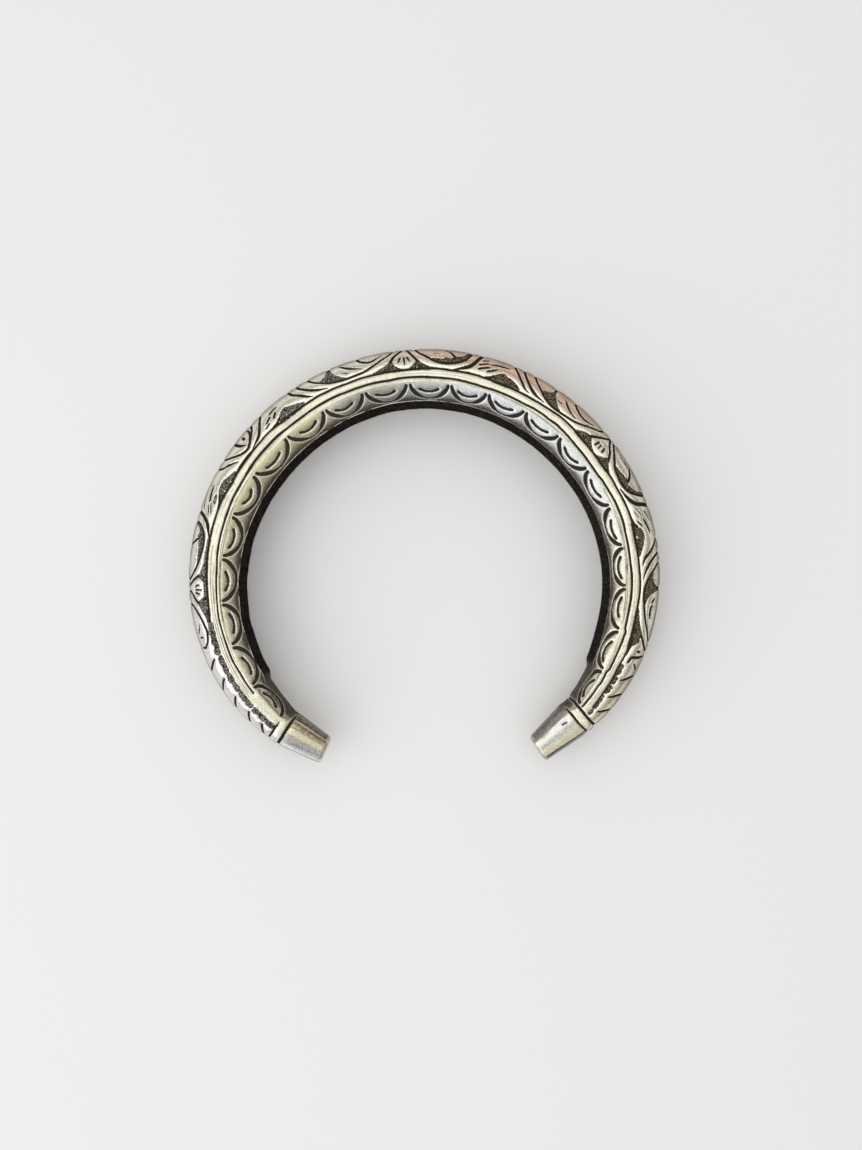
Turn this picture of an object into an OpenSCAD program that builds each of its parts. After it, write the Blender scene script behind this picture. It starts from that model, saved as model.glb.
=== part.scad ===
// A kada: an open silver cuff of one piece, lying on its side as it rests on a table.
// The back of the hoop is at +Y and the opening at -Y. Angles run counter-clockwise from +X
// about the hoop's own centre, and radii are measured from there. Each flat side has a raised
// border band, a ring of scallops towards the wrist and a chased vine towards the outside.

/* [Hoop] */
// Height of the hoop as it lies
hoop_h = 12; // [10:0.5:14]
// Radius of the wrist hollow, before the hand-made differences in the table below
wrist_r = 29.5; // [26:0.5:33]
// Height at the terminals, as a share of hoop_h
end_share = 0.68; // [0.55:0.01:0.9]
// Stretch of the hoop over which the height falls to that share, in degrees
taper_a = 26; // [15:1:40]
// How far the inner edge of a side lies below its border band
edge_drop = 1.6; // [1:0.1:2.5]

/* [Border band] */
// Width of the raised band
band_w = 1.42; // [1:0.02:1.8]
// Width of the chased line on each side of the band
line_w = 0.36; // [0.2:0.02:0.6]
// Depth of the chased lines
line_d = 0.25; // [0.1:0.05:0.4]

/* [Scallops] */
// Depth of the crescent cut of each scallop
scallop_d = 0.34; // [0.15:0.01:0.5]
// Where the scallops' points lie, from the band (0) to the inner edge (1)
scallop_top = 0.2; // [0.15:0.01:0.3]
// Where the scallops' bottoms lie, from the band (0) to the inner edge (1)
scallop_low = 0.84; // [0.7:0.01:0.88]

/* [Vine] */
// Height of the raised stem, leaves and buds
relief_h = 0.25; // [0.1:0.05:0.4]
// Depth of the sunk, stippled ground
ground_d = 0.2; // [0:0.05:0.4]
// Width of the stem, as an angle round the rounded outer side
stem_w = 9; // [5:1:12]

/* [Terminals] */
// Width of a terminal at its tip
tip_w = 4.5; // [3.5:0.1:5.5]
// Height of a terminal at its tip
tip_h = 5.2; // [4:0.1:6.5]
// Width of the bright bevel round the tip
tip_bevel = 0.35; // [0.1:0.05:0.6]

/* [Hidden] */

// The hoop's sections, one row each: its angle, how far the inner edge stands out from wrist_r,
// the radial width, and how far the band's outer edge is from the inner edge.
ANGLE = 0;
SHIFT = 1;
WIDE = 2;
BAND = 3;
SECTIONS = [
    [-44, 0.40, 6.55, 4.00],
    [-36, 0.55, 7.20, 4.05],
    [-28, 0.55, 7.65, 4.05],
    [-18, 0.45, 8.20, 4.25],
    [0, 0.38, 8.74, 4.42],
    [16, 0.06, 9.14, 4.74],
    [32, -0.32, 9.32, 4.72],
    [50, -0.60, 9.37, 4.88],
    [75, -0.63, 9.23, 4.88],
    [100, -0.65, 9.18, 4.95],
    [125, -0.80, 9.55, 5.25],
    [145, -0.57, 9.57, 5.42],
    [163, 0.02, 9.23, 5.30],
    [184, 0.55, 8.75, 4.87],
    [200, 0.72, 8.13, 4.63],
    [208, 0.60, 7.85, 4.60],
    [215, 0.38, 7.62, 4.57],
    [222, 0.20, 7.20, 4.50],
    [228, 0.12, 6.78, 4.38]
];

// The scallops were set out by eye: these are the angles of their points.
CUSPS = [
    -39.0, -27.1, -14.7, -2.2, 9.7, 21.6, 34.3, 46.6, 59.2, 71.3, 82.4,
    94.9, 108.0, 120.6, 134.2, 148.3, 161.5, 173.6, 186.4, 198.8, 211.5, 223.6
];
SCALLOP_STEPS = 6;

// The stem's turns: its angle, and how near it comes to the band (1) or the outer edge (0).
LEVEL = 1;
STEM = [
    [-45, 0], [-16, 0], [-3.5, 1], [9.5, 0], [20, 0], [27, 1], [37.3, 0], [52.5, 1], [66, 0], [76, 0],
    [84.8, 1], [96, 0], [111, 1], [126, 0], [135.5, 0], [142.5, 1], [150, 0], [163, 0], [172, 1],
    [182.3, 0], [229, 0]
];
STEM_OUT = 22;
STEM_IN = 62;

// Sunk, stippled ground beside the band: the middle of each patch. It also runs beside the
// scales, from the last patch to each end.
GROUNDS = [-15, 11.2, 37.3, 68.3, 95.5, 128.6, 154.1, 182.3];
ground_a = 4.5;
ground_blend_a = 2;
scales_right_a = -22;
scales_left_a = 198;

// Leaves, buds and the head at each end of the vine: angle, place on the rounded outer side
// (0 at its middle, 90 at the band), length, width, and turn from the run of the hoop.
UP = 1;
LONG = 2;
BROAD = 3;
TURN = 4;
LEAVES = [
    [182.3, 50, 2.4, 2.0, 90], [95.5, 50, 2.4, 2.0, 90], [37.3, 50, 2.4, 2.0, 90],
    [172, 34, 4.2, 1.7, 12], [142.5, 34, 2.8, 1.7, 0], [118, 28, 2.2, 1.8, 0],
    [109, 38, 4.4, 1.8, 15], [84.8, 34, 4.2, 1.7, 12], [58, 28, 2.2, 1.8, 0],
    [49.5, 38, 4.4, 1.8, 15], [27, 34, 4.2, 1.7, 12], [-6, 36, 4.4, 1.8, 15],
    [161, 50, 4.4, 1.9, 20], [133, 50, 3.4, 1.7, 20], [73, 50, 4.0, 1.9, 20], [16.5, 50, 4.0, 1.9, 20],
    [194.4, 46, 4.8, 2.4, -20], [-19, 50, 3.6, 2.0, 20]
];

// The ribs of the scales beside each terminal: the angles on each side, and their lean
SCALES_LEFT = [201.6, 207.2, 212.6, 217.5, 222.4];
SCALES_RIGHT = [-26.5, -32.0, -36.9];
scale_up = 38;
scale_long = 2.4;
scale_lean = 60;

// Each end has a plain collar between two cut rings, then a straight faceted terminal.
COLLAR = 0;
RING = 1;
TIP = 2;
TIP_R = 3;
TIP_LEAN = 4;
RIGHT = [-40.4, -43.1, -56.45, 33.5, 0];
LEFT = [224.7, 227.3, 239.85, 32.6, 7];
ring_cut = 0.3;
octagon_flat = 22.5;

half_h = hoop_h / 2;
first_cusp = CUSPS[0];
last_cusp = CUSPS[len(CUSPS) - 1];

function mix(a, b, t) = a + (b - a) * t;
function limit(t) = min(1, max(0, t));
function smooth(t) = let (u = limit(t)) u * u * (3 - 2 * u);

// Cubic curve through the rows of a table, read at angle a
function slope(table, col, i) =
    let (lo = max(0, i - 1), hi = min(len(table) - 1, i + 1))
    (table[hi][col] - table[lo][col]) / (table[hi][ANGLE] - table[lo][ANGLE]);
function row_below(table, a) =
    max([for (i = [0:len(table) - 2]) if (table[i][ANGLE] <= a || i == 0) i]);
function curve(table, col, a) =
    let (
        i = row_below(table, a),
        run = table[i + 1][ANGLE] - table[i][ANGLE],
        t = (a - table[i][ANGLE]) / run,
        t2 = t * t,
        t3 = t2 * t
    )
    (2 * t3 - 3 * t2 + 1) * table[i][col] + (3 * t2 - 2 * t3) * table[i + 1][col]
    + run * ((t3 - 2 * t2 + t) * slope(table, col, i) + (t3 - t2) * slope(table, col, i + 1));
function stem_level(a) =
    let (i = row_below(STEM, a), run = STEM[i + 1][ANGLE] - STEM[i][ANGLE])
    mix(STEM[i][LEVEL], STEM[i + 1][LEVEL], smooth((a - STEM[i][ANGLE]) / run));

function ground(a) =
    let (
        patches = [for (g = GROUNDS) smooth((ground_a - abs(a - g)) / ground_blend_a)],
        scales = [smooth((a - scales_left_a) / ground_blend_a), smooth((scales_right_a - a) / ground_blend_a)]
    )
    max(concat(patches, scales));

// How far along the hoop an angle is from the nearer terminal's ring, in degrees
function from_ring(a) = min(a - RIGHT[RING], LEFT[RING] - a);
function share(a) = mix(end_share, 1, smooth(from_ring(a) / taper_a));

// The flat inner wall ends short of the terminals, and the inner side is rounded from there.
wall_end_a = 18;
wall_blend_a = 5;
round_out = 0.8;
round_down = 1.2;
function rounded(a) = smooth((wall_end_a - from_ring(a)) / wall_blend_a);

function top_z(a) = half_h * share(a);
function inner_r(a) = wrist_r + curve(SECTIONS, SHIFT, a);
function outer_r(a) = inner_r(a) + curve(SECTIONS, WIDE, a);
function band_r(a) = inner_r(a) + curve(SECTIONS, BAND, a);
function bevel_r(a) = band_r(a) - band_w - line_w;
function edge_r(a) = inner_r(a) + round_out * rounded(a);
function edge_z(a) = top_z(a) - share(a) * (edge_drop + round_down * rounded(a));

// A point in the section plane [radius, height], lifted off the surface by d along its normal
function lifted(p, n, d) = p + n * d / norm(n);
function field_point(a, up, d) =
    let (foot = band_r(a) + line_w, wide = outer_r(a) - foot, high = top_z(a))
    lifted([foot + wide * cos(up), high * sin(up)], [cos(up) / wide, sin(up) / high], d);
function bevel_point(a, x, d) =
    let (wide = bevel_r(a) - edge_r(a), drop = top_z(a) - edge_z(a))
    lifted([bevel_r(a) - wide * x, top_z(a) - drop * x * x], [-2 * drop * x, wide], d);

// One scallop runs from cusp to cusp. Its cut is broad on the flanks and fine at the bottom.
function scallop_share(a) =
    a <= first_cusp || a >= last_cusp ? 1
    : let (i = max([for (k = [0:len(CUSPS) - 2]) if (CUSPS[k] <= a) k]))
      abs(2 * (a - CUSPS[i]) / (CUSPS[i + 1] - CUSPS[i]) - 1);
// s is 0 in the middle of a scallop and 1 at its points, where the cut stops.
flank_power = 2.4;
flank_s = 0.7;
cut_broad = 0.10;
cut_fine = 0.05;
cut_shallow = 0.6;
cusp_s = 0.999;
function cut_x(s) = mix(scallop_low, scallop_top, pow(s, flank_power));
function cut_half(s) = mix(cut_fine, cut_broad, smooth(s / flank_s));
function cut_depth(s) = s > cusp_s ? 0 : scallop_d * mix(cut_shallow, 1, smooth(s / flank_s));

// The upper half of a section, from the middle of the outside over the top to the middle of
// the wrist side
function half_section(a) =
    let (
        stem = mix(STEM_OUT, STEM_IN, stem_level(a)),
        foot = stem + stem_w / 2,
        s = scallop_share(a),
        x = cut_x(s),
        z = top_z(a)
    )
    [
        [outer_r(a), 0],
        field_point(a, (stem - stem_w / 2) / 2, 0),
        field_point(a, stem - stem_w / 2, 0),
        field_point(a, stem - stem_w / 4, relief_h),
        field_point(a, stem + stem_w / 4, relief_h),
        field_point(a, foot, 0),
        field_point(a, (foot + 90) / 2, -ground_d * ground(a)),
        [band_r(a) + line_w, z],
        [band_r(a) + line_w / 2, z - line_d],
        [band_r(a), z],
        [band_r(a) - band_w, z],
        [band_r(a) - band_w - line_w / 2, z - line_d],
        bevel_point(a, 0, 0),
        bevel_point(a, x - cut_half(s), 0),
        bevel_point(a, x, -cut_depth(s)),
        bevel_point(a, x + cut_half(s), 0),
        [edge_r(a), edge_z(a)],
        [inner_r(a), 0]
    ];

function section(a) =
    let (top = half_section(a), last = len(top) - 1)
    concat(top, [for (k = [last - 1:-1:1]) [top[k][0], -top[k][1]]]);

function placed(p, a) = [p[0] * cos(a), p[0] * sin(a), p[1]];

ring_a = ring_cut / wrist_r * 180 / PI;
body_start = RIGHT[COLLAR] + ring_a / 2;
body_end = LEFT[COLLAR] - ring_a / 2;
STATIONS = concat(
    [body_start],
    [
        for (i = [0:len(CUSPS) - 2], k = [0:SCALLOP_STEPS - 1])
            mix(CUSPS[i], CUSPS[i + 1], k / SCALLOP_STEPS)
    ],
    [last_cusp, body_end]
);

module body() {
    ring = len(section(0));
    count = len(STATIONS);
    points = [for (a = STATIONS) each [for (p = section(a)) placed(p, a)]];
    sides = [
        for (i = [0:count - 2], k = [0:ring - 1])
            let (
                n = (k + 1) % ring,
                p = i * ring + k,
                q = i * ring + n,
                r = p + ring,
                s = q + ring
            )
            each [[p, q, s], [p, s, r]]
    ];
    first = [for (k = [ring - 1:-1:0]) k];
    last = [for (k = [0:ring - 1]) (count - 1) * ring + k];
    polyhedron(points = points, faces = concat(sides, [first, last]));
}

// Stands its children on the rounded outer side, with local z outwards and local x along the hoop
module on_field(a, up) {
    p = placed(field_point(a, up, 0), a);
    q = placed(field_point(a, up, 1), a);
    out = q - p;
    along = [-sin(a), cos(a), 0];
    across = cross(out, along);
    multmatrix([
        [along[0], across[0], out[0], p[0]],
        [along[1], across[1], out[1], p[1]],
        [along[2], across[2], out[2], p[2]],
        [0, 0, 0, 1]
    ]) children();
}

// How deep the feet of the leaves and ribs are set into the body
sunk = 0.5;

// A leaf is domed over its middle and runs out to low tips.
module leaf(long, broad) {
    tip = 0.4;
    tip_h = 0.06;
    foot_share = 1.15;
    crown_share = 0.45;
    translate([0, 0, -sunk]) hull() {
        cylinder(h = sunk + relief_h, d1 = broad * foot_share, d2 = broad * crown_share, $fn = 5);
        for (side = [-1, 1]) translate([side * (long - tip) / 2, 0, 0])
            cylinder(h = sunk + tip_h, d = tip, $fn = 3);
    }
}

module leaves() {
    for (row = LEAVES, side = [1, -1])
        on_field(row[ANGLE], side * row[UP]) rotate(side * row[TURN]) leaf(row[LONG], row[BROAD]);
}

module scale_rib() {
    end_d = 0.8;
    translate([0, 0, -sunk]) hull() for (side = [-1, 1])
        translate([side * (scale_long - end_d) / 2, 0, 0])
            cylinder(h = sunk + relief_h, d1 = end_d, d2 = end_d / 2, $fn = 4);
}

module scales(angles, lean) {
    for (a = angles, side = [1, -1]) on_field(a, side * scale_up) rotate(side * lean) scale_rib();
}

// A thin eight-sided slice of an end, standing across the hoop
module slice(a, mid_r, wide, high, lean = 0) {
    thin = 0.02;
    across = 1 / cos(octagon_flat);
    rotate(a) translate([mid_r, 0, 0]) rotate([90, 0, lean]) scale([wide, high, 1])
        linear_extrude(thin, center = true) rotate(octagon_flat) circle(d = across, $fn = 8);
}

module hoop_slice(a, less = 0) {
    slice(a, (inner_r(a) + outer_r(a)) / 2, outer_r(a) - inner_r(a) - less, 2 * top_z(a) - less);
}

// From the body out: a cut ring, the plain collar, the second ring and the tapered terminal. A
// narrower core runs through both rings and into the body and the terminal.
module terminal(end) {
    turn = sign(end[TIP] - end[RING]);
    half_a = turn * ring_a / 2;
    bevel_a = tip_bevel / wrist_r * 180 / PI;
    core_a = 2 * turn;
    core_less = 0.7;
    hull() {
        hoop_slice(end[COLLAR] - core_a, core_less);
        hoop_slice(end[RING] + core_a, core_less);
    }
    hull() {
        hoop_slice(end[COLLAR] + half_a);
        hoop_slice(end[RING] - half_a);
    }
    hull() {
        hoop_slice(end[RING] + half_a);
        slice(end[TIP] - turn * bevel_a, end[TIP_R], tip_w, tip_h, end[TIP_LEAN]);
        slice(end[TIP], end[TIP_R], tip_w - 2 * tip_bevel, tip_h - 2 * tip_bevel, end[TIP_LEAN]);
    }
}

// The shift that puts the origin under the middle of the hoop's box
OUTLINE = [for (a = STATIONS) placed([outer_r(a), 0], a)];
TIP_END = [for (end = [RIGHT, LEFT]) placed([end[TIP_R] + tip_w / 2, 0], end[TIP])];
xs = [for (p = OUTLINE) p[0]];
ys = [for (p = concat(OUTLINE, TIP_END)) p[1]];
middle = [(min(xs) + max(xs)) / 2, (min(ys) + max(ys)) / 2, -half_h];

old_silver = [0.76, 0.74, 0.68];

module kada() {
    color(old_silver) translate(-middle) {
        body();
        leaves();
        scales(SCALES_LEFT, -scale_lean);
        scales(SCALES_RIGHT, scale_lean);
        terminal(RIGHT);
        terminal(LEFT);
    }
}

kada();
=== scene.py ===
"""The looks of a kada: an open cuff of old silver with a chased vine round its outer side.

Sizes are in millimetres and angles in degrees. Angles run counter-clockwise from +X about the
hoop's own centre, as in the solid, and the mesh is shifted and scaled into the frame at the end.
A point of the silver's surface is named by its angle a and by v, its distance from the border
band's outer edge, measured along the surface: above 0 on the rounded outer side, below 0 on the
band and the bevel towards the wrist.
"""

import math

import bpy
import numpy as np
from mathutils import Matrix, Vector


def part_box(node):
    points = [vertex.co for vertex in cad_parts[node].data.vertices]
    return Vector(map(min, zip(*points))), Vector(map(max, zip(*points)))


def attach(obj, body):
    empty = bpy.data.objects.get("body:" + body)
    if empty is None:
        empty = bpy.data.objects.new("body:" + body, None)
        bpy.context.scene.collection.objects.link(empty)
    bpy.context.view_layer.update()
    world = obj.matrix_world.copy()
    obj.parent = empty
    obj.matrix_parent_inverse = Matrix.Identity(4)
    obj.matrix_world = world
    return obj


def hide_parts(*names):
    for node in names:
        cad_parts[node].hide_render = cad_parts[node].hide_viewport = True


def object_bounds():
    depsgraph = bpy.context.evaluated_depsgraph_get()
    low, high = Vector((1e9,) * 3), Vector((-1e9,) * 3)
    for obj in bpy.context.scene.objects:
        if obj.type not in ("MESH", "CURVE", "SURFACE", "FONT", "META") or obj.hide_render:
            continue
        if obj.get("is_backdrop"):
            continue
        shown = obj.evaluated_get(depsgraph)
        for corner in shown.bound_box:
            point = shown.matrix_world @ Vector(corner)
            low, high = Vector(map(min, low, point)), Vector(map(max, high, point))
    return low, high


MM = 0.001

# The solid's own sizes, with the ends a little narrower on the wrist side
HOOP_H = 12.0
WRIST_R = 29.5
END_SHARE = 0.68
TAPER_A = 26.0
EDGE_DROP = 1.6
BAND_W = 1.42
LINE_W = 0.36
TIP_W = 4.5
TIP_H = 5.2
TIP_BEVEL = 0.35
TIP_BEVEL_A = math.degrees(TIP_BEVEL / WRIST_R)
WALL_END_A = 18.0
WALL_BLEND_A = 5.0
ROUND_OUT = 0.8
ROUND_DOWN = 1.2

# The hoop's sections: angle, how far the inner edge stands out from WRIST_R, the radial width,
# and how far the band's outer edge is from the inner edge
SECTIONS = np.array([
    (-44, 1.02, 5.93, 3.38),
    (-36, 0.98, 6.77, 3.62),
    (-28, 0.72, 7.48, 3.88),
    (-18, 0.45, 8.20, 4.25),
    (0, 0.38, 8.74, 4.42),
    (16, 0.06, 9.14, 4.74),
    (32, -0.32, 9.32, 4.72),
    (50, -0.60, 9.37, 4.88),
    (75, -0.63, 9.23, 4.88),
    (100, -0.65, 9.18, 4.95),
    (125, -0.80, 9.55, 5.25),
    (145, -0.57, 9.57, 5.42),
    (163, 0.02, 9.23, 5.30),
    (184, 0.55, 8.75, 4.87),
    (200, 0.72, 8.13, 4.63),
    (208, 0.68, 7.77, 4.52),
    (215, 0.66, 7.34, 4.29),
    (222, 0.78, 6.62, 3.92),
    (228, 0.92, 5.98, 3.58),
])
SHIFT, WIDE, BAND = 1, 2, 3

# Each end: where its collar starts, the ring before the terminal, the tip's angle and radius,
# and how far the tip's face is turned from the radius
RIGHT = {"collar": -40.4, "ring": -43.1, "tip": -56.45, "tip_r": 33.5, "lean": 0.0}
LEFT = {"collar": 224.7, "ring": 227.3, "tip": 239.85, "tip_r": 32.6, "lean": 7.0}
# Half of each terminal's faceted section, of width and height 1, from the outside over the top
RIGHT["facets"] = ((0.5, 0), (0.5, 0.21), (0.37, 0.46), (0.14, 0.5), (-0.12, 0.49), (-0.33, 0.45),
                   (-0.5, 0.2), (-0.5, 0))
LEFT["facets"] = ((0.5, 0), (0.5, 0.17), (0.42, 0.35), (0.27, 0.46), (-0.01, 0.5), (-0.33, 0.45),
                  (-0.5, 0.2), (-0.5, 0))

# The scallops: the v of their lowest points and of their cusps, how much lower the two by the
# collars go, and the widths of their crescents, lowest down and at the sides, and of their arcs
SCALLOP_LOW_V = -4.3
SCALLOP_HIGH_V = -2.42
END_SCALLOP_DROP = 0.75
CRESCENT_LOW_W = 0.24
CRESCENT_SIDE_W = 0.68
ARC_W = 0.41
END_ARC_W = 0.54
# The angles of the cusps, which were set out one by one
CUSPS = np.array([
    -38.95, -27.0, -14.5, -2.1, 9.8, 21.6, 34.3, 46.7, 59.2, 71.25, 82.45,
    94.9, 108.05, 120.6, 134.1, 148.3, 161.45, 173.6, 186.4, 198.85, 211.8, 223.9,
])

# Each scallop's short arc: how far it is from the scallop's middle, its reach to each side, both in
# degrees, and the v of its ends and of its middle
ARCS = (
    (-0.5, 2.8, -2.95, -4.0), (-0.55, 3.1, -2.87, -3.49), (0.45, 2.75, -2.75, -3.18),
    (-0.15, 3.0, -2.93, -3.48), (-0.6, 2.65, -3.12, -3.48), (0.3, 2.8, -2.99, -3.45),
    (0.0, 2.9, -3.08, -3.52), (0.35, 2.9, -3.12, -3.52), (0.4, 2.7, -3.2, -3.62),
    (0.25, 2.8, -3.2, -3.66), (0.1, 2.8, -3.23, -3.66), (0.45, 2.8, -3.2, -3.62),
    (0.6, 2.65, -3.28, -3.74), (-0.1, 2.8, -3.25, -3.69), (0.6, 2.9, -3.38, -3.74),
    (-0.1, 2.25, -3.25, -3.74), (0.35, 2.7, -3.17, -3.66), (0.3, 2.6, -3.0, -3.52),
    (-0.05, 2.8, -3.3, -3.74), (0.35, 2.6, -3.15, -3.52), (-0.1, 2.6, -3.06, -3.75),
)

# The grid that the surface is worked out on: square tiles of cells, and the rows of cells on the
# outer side, on the band with the bevel, and on the wall
TILE = 64
TILES_ALONG = 27
FIELD_ROWS = 84
TOP_ROWS = 66
WALL_ROWS = 42
# The mesh has fewer triangles than this. The lower side's shape counts less in where they go, and
# the dark marks count as if they were this deep.
MOST_TRIANGLES = 198000
UNDER_WEIGHT = 0.75
COLOUR_MM = 0.07

# The chasing: depths, how far an edge is rounded off beside a line, how much shallower it all is
# round the middle of the outer side, and how much wider the vine's lines are cut than marked
LINE_D = 0.18
GROUND_D = 0.24
GROUND_GROWTH = 0.07
GROUND_SLOPE_W = 0.16
SPOT_SLOPE_W = 0.12
PILLOW_D = 0.10
PILLOW_W = 0.45
SOFT_W = 0.07
OUTER_DEPTH = 0.7
WIDEN = 1.12

# The hand's and the years' unevenness: how far the vine strays, how rough the ground's outlines and
# the ragged ones are, how high the punch marks stand, and how deep the silver and the wall are worn
STRAY = 0.07
ROUGH = 0.06
RAGGED = 0.10
PUNCH_D = 0.04
WORN_D = 0.02
WALL_D = 0.13
# A degree is at least this long on the silver
LEAST_MM_PER_DEG = 0.5
# Noise is read at this radius, and the lower flat side reads it this far away
NOISE_R = 36.0
LOWER_SHIFT = 400.0
UPPER_SEED, LOWER_SEED = 11, 41

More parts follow.
